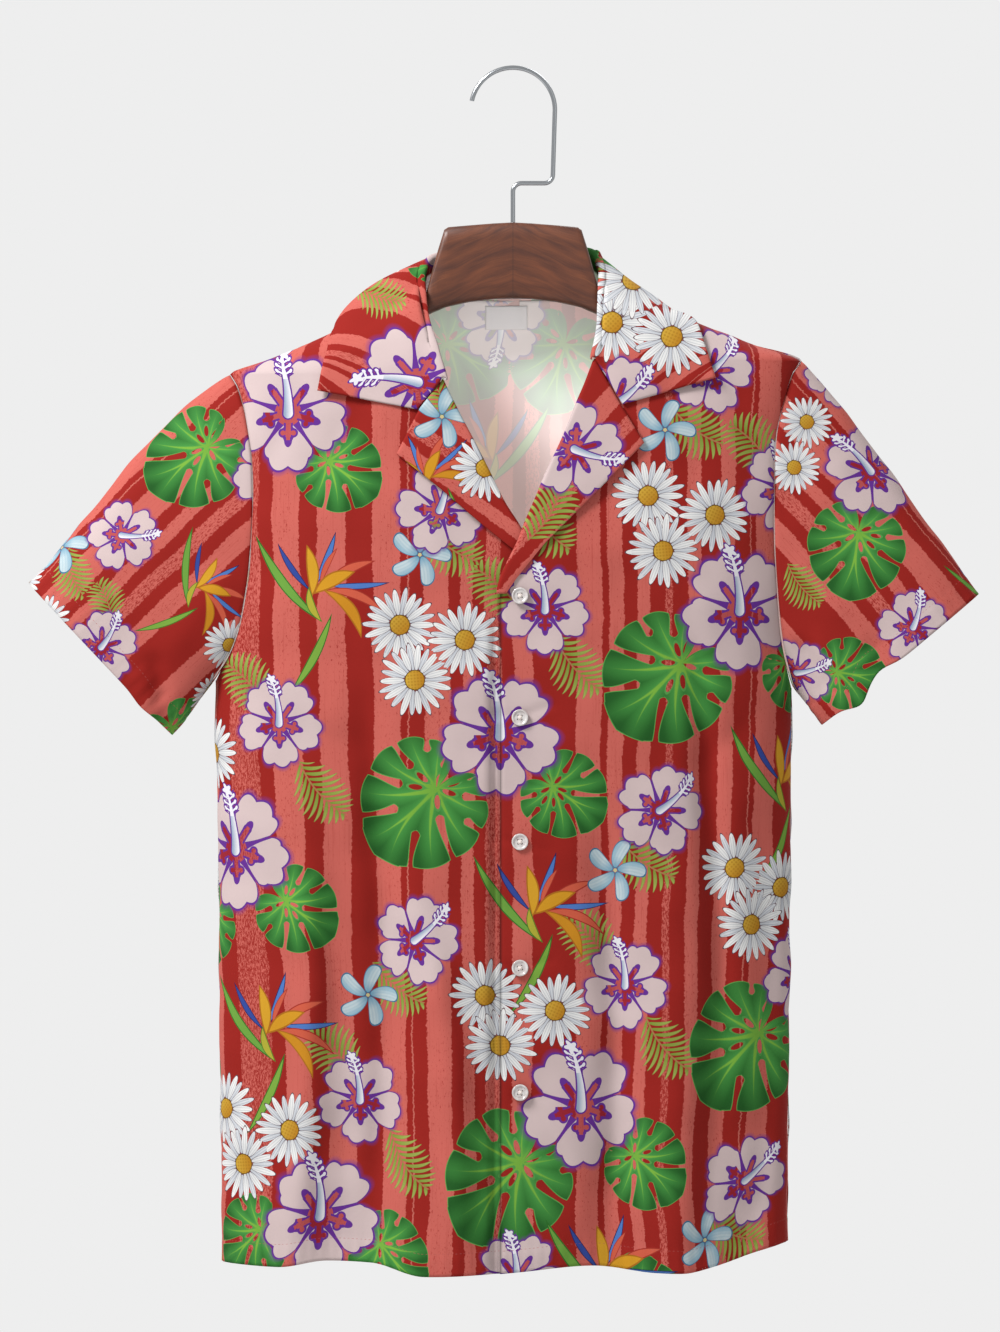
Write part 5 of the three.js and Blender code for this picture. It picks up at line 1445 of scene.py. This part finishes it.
def ramp(tree, factor, stops):
    node = tree.nodes.new("ShaderNodeValToRGB")
    node.color_ramp.interpolation = "CONSTANT"
    join(tree, factor, node.inputs[0])
    elements = node.color_ramp.elements
    while len(elements) < len(stops):
        elements.new(0.5)
    for element, (place, shade) in zip(elements, stops):
        element.position = place
        element.color = shade
    return node


def draw_stripes(tree, u, v):
    """Brushed upright stripes with torn edges, dry-brush flecks on some of them."""
    torn = noise((u * 0.1, v * 0.3, 3.0), 5.0, 0.8) - 0.5
    wander = noise((u * 0.012, v * 0.016, 8.0), 2.0) - 0.5
    wavy = u + torn * 6.0 + wander * 8.0
    places = stripe_places()
    stops = [
        (place, (*colour(STRIPE_COLOURS[name])[:3], brushed))
        for place, (_, name, brushed) in zip(places, STRIPES)
    ]
    half = len(stops) // 2
    middle = stops[half][0]
    ramps = []
    for low, part in ((-STRIPE_REACH, stops[:half]), (middle, stops[half:])):
        share = (wavy - low) * (1 / STRIPE_REACH)
        ramps.append(ramp(tree, share, [((place - low) / STRIPE_REACH, shade) for place, shade in part]))
    right_half = wavy > middle
    base = over(Shade(tree, ramps[0].outputs[0]), Shade(tree, ramps[1].outputs[0]), right_half)
    first, second = (Shade(tree, r.outputs[1]) for r in ramps)
    brushed = first + (second - first) * right_half
    flecks = noise((u * 0.9, v * 0.3, 1.0), 4.0, 0.8)
    patches = noise((u * 0.05, v * 0.011, 5.0), 1.0)
    speckle = (flecks + brushed * 0.2 + patches * 0.16) > 0.76
    dark = colour(STRIPE_COLOURS["dark"])
    base = over(base, dark, speckle * (brushed > 0.1) * 0.9)
    drag = noise((u * 0.9, v * 0.02, 6.0), 3.0, 0.6)
    return over(base, dark, ((drag - 0.55) * 3.5).clamped() * (brushed > 0.1) * 0.5)


def shader_of(name, roughness, metallic=0.0):
    material = bpy.data.materials.new(name)
    material.use_nodes = True
    tree = material.node_tree
    shader = next(node for node in tree.nodes if node.type == "BSDF_PRINCIPLED")
    set_up(shader, tree, {"Roughness": roughness, "Metallic": metallic})
    return material, tree, shader


def set_up(shader, tree, values):
    """Gives a shader's inputs their values, or joins them to what works them out."""
    for name, value in values.items():
        join(tree, value, shader.inputs[name])


def bump(tree, shader, height, distance, strength=1.0):
    node = tree.nodes.new("ShaderNodeBump")
    node.inputs["Strength"].default_value = strength
    node.inputs["Distance"].default_value = distance
    join(tree, height, node.inputs["Height"])
    tree.links.new(node.outputs[0], shader.inputs["Normal"])


# From thread to thread of the weave
WEAVE = 0.55
BLACK = (0.0, 0.0, 0.0, 1.0)
# How far the print fades towards grey on the wrong side, and the strength of the painted glow there that
# stands in for light through the cloth from behind
FADED = 0.7
PAINTED_GLOW_THROUGH = 0.2
# The share of black in the dyed colours, and how much brighter their whites are made against it
DYE_DEPTH = 0.66
WHITENED = 1.2
# The shade at the lap: how it grows for each millimetre in from its reach, and how dark it gets
LAP_SHADE_GROWS, LAP_SHADE_DEPTH = 0.45, 0.7


def printed_cloth():
    """The print on its stripes, shaded where the fronts lap, faded on its wrong side with a painted glow
    there for light through the cloth.
    """
    material, tree, shader = shader_of("printed_cloth", 0.82)
    u, v, wrong = attribute(tree, "cloth")
    result = draw_stripes(tree, u, v)
    for draw in (draw_palm, draw_monstera, draw_strelitzia, draw_plumeria):
        result = draw(tree, result)
    result = draw_daisy(tree, result, "daisy")
    result = draw_daisy(tree, result, "daisy_over")
    result = draw_hibiscus(tree, result)
    dyed = over(result, BLACK, DYE_DEPTH)
    in_shade = (attribute(tree, "lap")[0] * LAP_SHADE_GROWS).clamped()
    dyed = over(dyed, BLACK, in_shade * LAP_SHADE_DEPTH)
    faded = over(result, colour("DADCD9"), FADED)
    # The wrong side's emission is a painted glow, standing in for light through the cloth
    set_up(shader, tree, {
        "Base Color": over(dyed, faded, wrong),
        "Emission Color": over(BLACK, faded, wrong),
        "Emission Strength": PAINTED_GLOW_THROUGH,
        "Specular IOR Level": 0.1,
    })
    warp = (u * (2 * math.pi / WEAVE)).math("SINE") * (v * (2 * math.pi / WEAVE)).math("SINE")
    bump(tree, shader, warp, 0.00004, 0.5)
    return material


# Hard pieces: made with Blender's own tools, in metres
def fresh():
    """Nothing selected, ready to make the next piece."""
    if bpy.context.object and bpy.context.object.mode != "OBJECT":
        bpy.ops.object.mode_set(mode="OBJECT")
    bpy.ops.object.select_all(action="DESELECT")


def finished(piece, name, material, smooth_below=35):
    """Names a finished piece, brings its place into its mesh and gives it its material."""
    fresh()
    piece.select_set(True)
    bpy.context.view_layer.objects.active = piece
    bpy.ops.object.transform_apply(location=True, rotation=True, scale=True)
    bpy.ops.object.shade_smooth_by_angle(angle=math.radians(smooth_below))
    piece.name = name
    piece.data.name = name
    piece.data.materials.clear()
    piece.data.materials.append(material)
    return piece


def copied(source):
    copy = source.copy()
    copy.data = source.data.copy()
    bpy.context.scene.collection.objects.link(copy)
    return copy


def joined(pieces):
    fresh()
    for piece in pieces:
        piece.select_set(True)
    bpy.context.view_layer.objects.active = pieces[0]
    bpy.ops.object.join()
    return bpy.context.object


def swept(piece, name, material, smooth_below):
    """Ends a sweep in edit mode: its faces turned outwards, then finished."""
    bpy.ops.mesh.select_all(action="SELECT")
    bpy.ops.mesh.normals_make_consistent(inside=False)
    bpy.ops.object.mode_set(mode="OBJECT")
    return finished(piece, name, material, smooth_below)


def extruded(shift):
    bpy.ops.mesh.extrude_region_move(
        TRANSFORM_OT_translate={"value": tuple(value * MM for value in shift), "orient_type": "GLOBAL"}
    )


def sized(wide, high, middle):
    bpy.ops.transform.resize(
        value=(1, wide, high),
        orient_type="GLOBAL",
        center_override=tuple(value * MM for value in middle),
    )


# Hanger: the neck block that shows, from its middle out, then the arms under the shoulders.
# x, top, underside, half-thickness
NECK_BLOCK = [
    (0, -115.4, -172.4, 10), (14, -116.1, -172.8, 10), (33, -117.6, -175, 10.3),
    (48.8, -119, -178.4, 10.6), (51.8, -121, -179.3, 10.7), (56.3, -135.4, -181.3, 10.8),
    (60.4, -149.8, -183, 11), (64, -164.2, -184.6, 11), (67, -173, -186.4, 10), (76, -176, -191, 9.5),
]
# x, height, half-thickness of an arm
ARM = [
    (88, 19, 10), (110, 24, 13), (140, 26, 15.5), (180, 22, 17), (197, 15, 13), (204, 8, 7),
]
ARM_STATIONS = 9
ARM_UNDER_CLOTH = 2.6
ARM_LOWERING = 0.2
ARM_ROUNDING = 3.2


def arm_station(side, x):
    """An arm's section, let down from the shoulder line until it is clear under the cloth."""
    height, half = float(table_line(ARM, 1)(x)), float(table_line(ARM, 2)(x))
    shoulder = [(abs(across), z) for z, across in SIDE_LINE[side] if z > -231]
    top = float(table_line(shoulder)(x)) - ARM_UNDER_CLOTH
    turn = np.linspace(0, 2 * math.pi, 29)
    c, s = np.cos(turn), np.sin(turn)
    y = half * np.sign(c) * np.abs(c) ** (2 / ARM_ROUNDING)
    up = 0.5 + 0.5 * np.sign(s) * np.abs(s) ** (2 / ARM_ROUNDING)
    while True:
        section = np.stack([np.full(len(y), side * x), y, top - height + height * up], -1)
        if np.all(outside(section)[0] < -ARM_UNDER_CLOTH):
            return side * x, top, top - height, half
        top -= ARM_LOWERING


def hanger_stations():
    """Sections of the hanger from the wearer's right to left."""
    halves = {}
    for side in (RIGHT, LEFT):
        block = [(side * x, top, low, half) for x, top, low, half in NECK_BLOCK]
        share = np.sin(np.linspace(0, math.pi / 2, ARM_STATIONS + 1))
        arm = [arm_station(side, x) for x in mix(ARM[0][0], ARM[-1][0], share)]
        halves[side] = block + arm
    return halves[RIGHT][::-1] + halves[LEFT][1:]


# Corner rounding of the hanger's section, drawn on a square 2 mm wide
HANGER_BEVEL = 0.42


def make_hanger(material):
    fresh()
    stations = hanger_stations()
    x, top, low, half = stations[0]
    middle = (x, 0, (top + low) / 2)
    bpy.ops.mesh.primitive_plane_add(
        size=2 * MM, location=tuple(value * MM for value in middle), rotation=(0, math.pi / 2, 0)
    )
    piece = bpy.context.object
    bpy.ops.object.mode_set(mode="EDIT")
    bpy.ops.mesh.select_all(action="SELECT")
    bpy.ops.mesh.bevel(offset=HANGER_BEVEL * MM, segments=4, affect="VERTICES", profile=0.5)
    bpy.ops.mesh.select_all(action="SELECT")
    sized(half, (top - low) / 2, middle)
    was = (x, (top + low) / 2, (top - low) / 2, half)
    for x, top, low, half in stations[1:]:
        now = (x, (top + low) / 2, (top - low) / 2, half)
        extruded((now[0] - was[0], 0, now[1] - was[1]))
        sized(now[3] / was[3], now[2] / was[2], (now[0], 0, now[1]))
        was = now
    return swept(piece, "hanger_wood_shape", material, 40)


# Hook: the wire's centreline, from the tip round the rail, down, across and into the wood
WIRE_RADIUS = 1.75
HOOK_RADIUS = 31.7
HOOK_CENTRE = -29.95
HOOK_TIP_ANGLE = 168
HOOK_LEG = (30.2, -79)
HOOK_BEND = 6.5
HOOK_STEP_LEVEL = -85.5
HOOK_FOOT_LEVEL = -115.1
WIRE_SIDES = 20


def spun(steps, degrees, middle_x, middle_z):
    """Sweeps the wire's end clockwise, as the front shows it, about a point."""
    bpy.ops.mesh.spin(
        steps=steps,
        angle=-math.radians(degrees),
        center=(middle_x * MM, 0, middle_z * MM),
        axis=(0, 1, 0),
    )


def make_hook(material):
    fresh()
    tip = math.radians(HOOK_TIP_ANGLE)
    start = (HOOK_RADIUS * math.cos(tip), HOOK_CENTRE + HOOK_RADIUS * math.sin(tip))
    bpy.ops.mesh.primitive_circle_add(
        vertices=WIRE_SIDES,
        radius=WIRE_RADIUS * MM,
        fill_type="NGON",
        location=(start[0] * MM, 0, start[1] * MM),
        rotation=(0, math.pi - tip, 0),
    )
    piece = bpy.context.object
    bpy.ops.object.transform_apply(location=True, rotation=True, scale=True)
    bpy.ops.object.mode_set(mode="EDIT")
    bpy.ops.mesh.select_all(action="SELECT")
    spun(60, HOOK_TIP_ANGLE, 0, HOOK_CENTRE)
    leg_x, leg_z = HOOK_LEG
    extruded((leg_x - HOOK_RADIUS, 0, leg_z - HOOK_CENTRE))
    spun(14, 90, leg_x - HOOK_BEND, leg_z)
    extruded((2 * HOOK_BEND - leg_x, 0, 0))
    spun(14, -90, HOOK_BEND, HOOK_STEP_LEVEL - HOOK_BEND)
    extruded((0, 0, HOOK_FOOT_LEVEL - HOOK_STEP_LEVEL + HOOK_BEND))
    return swept(piece, "hanger_hook_shape", material, 50)


# Buttons: four-hole shirt buttons down the wearer's left front
BUTTON_X = 5.2
BUTTON_LEVELS = [-397.5, -488.5, -581.5, -676, -769]
BUTTON_TURNS = [8, -6, 3, 14, -10]
BUTTON_RADIUS = 6.2
BUTTON_BACK = 0.45
BUTTON_HEIGHT = 2.4
BUTTON_RIM = 1.3
BUTTON_DISH = 0.8
HOLE_RADIUS = 0.75
HOLE_OFFSET = 1.3
THREAD_RADIUS = 0.32
# Each arm of the cross is two threads, so far to its sides and flattened
THREAD_SPREAD = 0.36
THREAD_FLATNESS = 0.62
# The dish's sloping step, and the rounding of the edges
BUTTON_STEP = 0.5
BUTTON_EDGE = 0.42


def first_button():
    """One button with its face along +Z of its own frame, its back at the origin."""
    fresh()
    bpy.ops.mesh.primitive_cylinder_add(
        vertices=56,
        radius=BUTTON_RADIUS * MM,
        depth=BUTTON_HEIGHT * MM,
        location=(0, 0, BUTTON_HEIGHT / 2 * MM),
    )
    piece = bpy.context.object
    bpy.ops.object.mode_set(mode="EDIT")
    bpy.ops.mesh.select_mode(type="FACE")
    bpy.ops.mesh.select_all(action="DESELECT")
    bpy.ops.object.mode_set(mode="OBJECT")
    for face in piece.data.polygons:
        face.select = face.normal.z > 0.9
    bpy.ops.object.mode_set(mode="EDIT")
    bpy.ops.mesh.inset(thickness=BUTTON_RIM * MM)
    bpy.ops.mesh.inset(thickness=BUTTON_STEP * MM)
    bpy.ops.transform.translate(value=(0, 0, -BUTTON_DISH * MM), orient_type="GLOBAL")
    bpy.ops.object.mode_set(mode="OBJECT")
    bevel = piece.modifiers.new("edges", "BEVEL")
    bevel.width = BUTTON_EDGE * MM
    bevel.segments = 3
    bevel.limit_method = "ANGLE"
    bevel.angle_limit = math.radians(30)
    bpy.ops.object.modifier_apply(modifier="edges")
    for sx in (1, -1):
        for sy in (1, -1):
            bpy.ops.mesh.primitive_cylinder_add(
                vertices=20,
                radius=HOLE_RADIUS * MM,
                depth=3 * BUTTON_HEIGHT * MM,
                location=(sx * HOLE_OFFSET * MM, sy * HOLE_OFFSET * MM, 0),
            )
            hole = bpy.context.object
            bpy.context.view_layer.objects.active = piece
            cut = piece.modifiers.new("hole", "BOOLEAN")
            cut.operation = "DIFFERENCE"
            cut.object = hole
            bpy.ops.object.modifier_apply(modifier="hole")
            bpy.data.objects.remove(hole)
    return piece


def first_thread():
    """The crossed thread through one button's holes."""
    made = []
    for degrees in (45, 135):
        for beside in (-THREAD_SPREAD, THREAD_SPREAD):
            fresh()
            way = math.radians(degrees)
            bpy.ops.mesh.primitive_torus_add(
                major_segments=28,
                minor_segments=8,
                major_radius=HOLE_OFFSET * math.sqrt(2) * MM,
                minor_radius=THREAD_RADIUS * MM,
                location=(
                    -math.sin(way) * beside * MM,
                    math.cos(way) * beside * MM,
                    (BUTTON_HEIGHT - BUTTON_DISH) * 0.5 * MM,
                ),
                rotation=(math.pi / 2, 0, way),
            )
            ring = bpy.context.object
            ring.scale = (1, THREAD_FLATNESS, 1)
            made.append(ring)
    return joined(made)


def set_on_front(source, name, level, turn, material, smooth_below=35):
    """A copy of a piece, its own up along the cloth's outward normal at a button's place."""
    copy = copied(source)
    z = np.array([float(level)])
    angle = angle_at(FRONT, np.array([BUTTON_X]), z)
    out = body_normal(angle, z)[0]
    place = panel_point(FRONT, LEFT, angle, z, BUTTON_BACK)[0]
    copy.matrix_world = (
        Vector(out).to_track_quat("Z", "Y").to_matrix().to_4x4()
        @ Matrix.Rotation(math.radians(turn), 4, "Z")
        @ source.matrix_world
    )
    copy.matrix_world.translation = copy.matrix_world.translation + Vector(place) * MM
    return finished(copy, name, material, smooth_below)


# Neck label, flat on the inside of the back, and the size tab above it; both bare
# x from and to, z from and to, how far off the back's inside
LABEL = {
    "neck_label_cloth": (-21, 11, -194.5, -176.5, 0.95),
    "size_tab": (-11.5, 5, -179.5, -169.2, 0.2),
}
LABEL_CLOTH = 0.5
LABEL_COLUMNS = 25
LABEL_ROWS = 15
# How a label waves off the cloth: height, length, and how far up from its foot it takes to be full
LABEL_WAVE = (0.15, 9.0, 12)


def label_sheet(low, high, foot, top, off):
    shape = (LABEL_ROWS, LABEL_COLUMNS)
    x = np.broadcast_to(np.linspace(low, high, LABEL_COLUMNS)[None, :], shape)
    z = np.broadcast_to(np.linspace(foot, top, LABEL_ROWS)[:, None], shape)
    angle = angle_at(BACK, x, z)
    normals = body_normal(angle, z)
    height, length, full = LABEL_WAVE
    lift = height * np.sin(x / length) * ease((z - foot) / full)
    near = moved(body_point(angle, z), normals, -CLOTH - off + lift)
    far = moved(near, normals, -LABEL_CLOTH)
    flat = np.stack([x, z], -1)
    return Sheet(near, far, flat, flat)


# Hem stitches: one is made, then copied along each hem
STITCH = (2.3, 0.34)
STITCH_STEP = 3.2
STITCH_SUNK = 0.1


def first_stitch():
    """One stitch, its length along X."""
    length, thickness = STITCH
    fresh()
    bpy.ops.mesh.primitive_uv_sphere_add(segments=8, ring_count=6, radius=MM)
    piece = bpy.context.object
    bpy.ops.transform.rotate(value=math.pi / 2, orient_axis="Y", center_override=(0, 0, 0))
    bpy.ops.object.transform_apply(location=True, rotation=True, scale=True)
    bpy.ops.transform.resize(value=(length / 2, thickness / 2, thickness / 2), orient_type="GLOBAL")
    bpy.ops.object.transform_apply(location=True, rotation=True, scale=True)
    return piece


def line_at(grid, distance, deep):
    """The points of each column that lie so deep from an edge."""
    if distance[0, 0] > distance[-1, 0]:
        grid, distance = grid[::-1], distance[::-1]
    return np.array(
        [[np.interp(deep, distance[:, c], grid[:, c, k]) for k in range(3)] for c in range(grid.shape[1])]
    )


def stitch_row(source, sheet, edge, name, material):
    """A row of stitches over a turned hem, at its depth from one edge of a sheet."""
    distance = edge_distance(sheet.outer, edge)
    line = line_at(sheet.outer, distance, HEM_DEEP)
    out = unit(line - line_at(sheet.inner, distance, HEM_DEEP))
    run = run_along(line, 0)
    made = []
    for at in np.arange(STITCH_STEP, run[-1] - STITCH_STEP / 2, STITCH_STEP):
        place, ahead, up = (
            Vector([float(np.interp(at + step, run, values[:, k])) for k in range(3)])
            for step, values in ((0, line), (1, line), (0, out))
        )
        way = (ahead - place).normalized()
        side = up.cross(way).normalized()
        up = way.cross(side)
        copy = copied(source)
        turn = Matrix((way, side, up)).transposed().to_4x4()
        copy.matrix_world = Matrix.Translation((place - up * STITCH_SUNK) * MM) @ turn
        made.append(copy)
    return finished(joined(made), name, material, 80)


def plain(name, hexadecimal, roughness, metallic=0.0):
    material, tree, shader = shader_of(name, roughness, metallic)
    set_up(shader, tree, {"Base Color": colour(hexadecimal)})
    return material, tree, shader


def object_place(tree):
    node = tree.nodes.new("ShaderNodeTexCoord")
    split = tree.nodes.new("ShaderNodeSeparateXYZ")
    tree.links.new(node.outputs["Object"], split.inputs[0])
    return [Shade(tree, s) * 1000.0 for s in split.outputs]


# How steeply the grain rises to the join in the middle, in degrees
GRAIN_RISE = 24


def walnut():
    """Dark walnut in two halves that meet upright in the middle, the grain rising to the join."""
    material, tree, shader = shader_of("walnut", 0.5)
    x, y, z = object_place(tree)
    away = abs(x)
    way = math.radians(GRAIN_RISE)
    along = away * math.cos(way) - z * math.sin(way)
    across = z.times_plus(math.cos(way), away * math.sin(way))
    swirl = noise((along * 0.018, across * 0.03, y * 0.02), 2.0)
    across = across + (swirl - 0.5) * 18
    fine = noise((along * 0.02, across * 1.1, y * 0.8), 6.0, 0.75)
    broad = noise((along * 0.03, across * 0.16, y * 0.1), 3.0)
    wood = over(colour("34160B"), colour("542A14"), (broad * 2.4 - 0.7).clamped())
    wood = over(wood, colour("1A0904"), ((fine - 0.5) * 3.5).clamped() * 0.42)
    wood = over(wood, colour("70401F"), ((0.46 - fine) * 5).clamped() * 0.4)
    wood = over(wood, colour("1E0C07"), (1 - away * 1.8).clamped() * 0.55)
    set_up(shader, tree, {
        "Base Color": wood,
        "Specular IOR Level": 0.3,
        "Coat Weight": 0.12,
        "Coat Roughness": 0.3,
    })
    bump(tree, shader, fine, 0.0003, 0.2)
    return material


def pearl():
    material, tree, shader = shader_of("pearl_button", 0.2)
    x, y, z = object_place(tree)
    cloud = noise((x * 0.28, y * 0.28, z * 0.28), 3.0)
    tint = over(colour("A5A2A0"), colour("857A78"), (cloud * 2.2 - 0.7).clamped())
    set_up(shader, tree, {"Base Color": tint, "Coat Weight": 0.6, "Coat Roughness": 0.08})
    return material


def steel():
    material, tree, shader = plain("steel_wire", "8E9194", 0.22, 1.0)
    x, y, z = object_place(tree)
    drawn = noise((x * 0.6, y * 0.6, z * 0.6), 2.0)
    set_up(shader, tree, {"Roughness": drawn * 0.16 + 0.14})
    return material


# From rib to rib of a woven label
LABEL_RIB = 0.5


def label_cloth(name, hexadecimal):
    material, tree, shader = shader_of(name, 0.6)
    z = object_place(tree)[2]
    rib = (z * (2 * math.pi / LABEL_RIB)).math("SINE")
    tint = over(colour(hexadecimal), colour("FFFFFF"), rib * 0.06 + 0.06)
    set_up(shader, tree, {"Base Color": tint})
    bump(tree, shader, rib, 0.00005, 0.4)
    return material


FLOOR_SIZE, FLOOR_LEVEL = 6, -1.35
# Lights: name, size, power, place and what they aim at, in metres
LIGHTS = [
    ("key_light", 0.9, 215, (-1.8, -1.45, 1.75), (0, 0, -0.4)),
    ("fill_light", 2.6, 14, (2.6, -3.2, 0.6), (0, 0, -0.5)),
    ("back_light", 1.6, 60, (1.5, 2.3, 2.2), (0, 0, -0.4)),
]


def make_room():
    """Pale floor, a pale surround and soft studio light from above and in front."""
    fresh()
    bpy.ops.mesh.primitive_plane_add(size=FLOOR_SIZE, location=(0, 0, FLOOR_LEVEL))
    floor = bpy.context.object
    floor.name = "floor"
    pale, _, _ = plain("pale_floor", "D2D2D2", 0.9)
    floor.data.materials.append(pale)
    world = bpy.data.worlds.new("pale_room")
    bpy.context.scene.world = world
    world.use_nodes = True
    background = next(node for node in world.node_tree.nodes if node.type == "BACKGROUND")
    background.inputs["Color"].default_value = colour("EEEEEE")
    background.inputs["Strength"].default_value = 1.0
    for name, size, power, place, aim in LIGHTS:
        light = bpy.data.lights.new(name, "AREA")
        light.shape = "SQUARE"
        light.size = size
        light.energy = power
        lamp = bpy.data.objects.new(name, light)
        bpy.context.scene.collection.objects.link(lamp)
        lamp.location = place
        lamp.rotation_euler = (Vector(aim) - Vector(place)).to_track_quat("-Z", "Y").to_euler()
    scene = bpy.context.scene
    scene.view_settings.view_transform = "Standard"
    scene.view_settings.look = "None"


# Turned hems: the edge of each sheet that has one
HEMS = {
    "front_right": "foot",
    "front_left": "foot",
    "back": "foot",
    "sleeve_right": "head",
    "sleeve_left": "head",
}


def main():
    make_camera()
    make_room()
    print_cloth = printed_cloth()
    wood, wire, shell = walnut(), steel(), pearl()
    thread, hem_thread = plain("button_thread", "B9AFA9", 0.7)[0], plain("hem_thread", "7E3430", 0.8)[0]
    white, pink = label_cloth("label_cloth", "F4F4F4"), label_cloth("tab_cloth", "E9C9C4")
    sheets = {
        "front_right": front_sheet(RIGHT),
        "front_left": front_sheet(LEFT),
        "back": back_sheet(),
        "sleeve_right": sleeve_sheet(RIGHT),
        "sleeve_left": sleeve_sheet(LEFT),
        "lapel_right": lapel_sheet(RIGHT),
        "lapel_left": lapel_sheet(LEFT),
        "collar": collar_sheet(),
    }
    fronts = placed([sheets["front_right"], sheets["front_left"]], PRINT["front"])
    stitch = first_stitch()
    pieces = []
    for node, sheet in sheets.items():
        if node.startswith("front"):
            motifs = fronts
        elif node == "back":
            around = [spot for spot in repeated(sheet, False) if clear_of_neck(*spot[1:3])]
            motifs = seen_inside(PRINT[node]) + around
        else:
            motifs = placed([sheet], PRINT[node]) + repeated(sheet, True)
        piece = make_cloth(node + "_cloth", sheet, motifs, print_cloth)
        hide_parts(node)
        rows = []
        if node in HEMS:
            rows.append(stitch_row(stitch, sheet, HEMS[node], node + "_hem_stitches", hem_thread))
        pieces += [piece, *rows]
    label = make_cloth("neck_label_cloth", label_sheet(*LABEL["neck_label_cloth"]), [], white)
    tab = make_cloth("size_tab", label_sheet(*LABEL["size_tab"]), [], pink)
    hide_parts("neck_label")
    hanger = make_hanger(wood)
    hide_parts("hanger_wood")
    hook = make_hook(wire)
    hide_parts("hanger_hook")
    button, crossed = first_button(), first_thread()
    buttons = []
    for i, (level, turn) in enumerate(zip(BUTTON_LEVELS, BUTTON_TURNS)):
        one = set_on_front(button, f"button_{i + 1}_shell", level, turn, shell)
        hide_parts(f"button_{i + 1}")
        sewn_on = set_on_front(crossed, f"button_{i + 1}_thread", level, turn, thread, 80)
        buttons += [one, sewn_on]
    for piece in (button, crossed, stitch):
        bpy.data.objects.remove(piece)
    for piece in [*pieces, label, tab, hanger, hook, *buttons]:
        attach(piece, "root")


main()
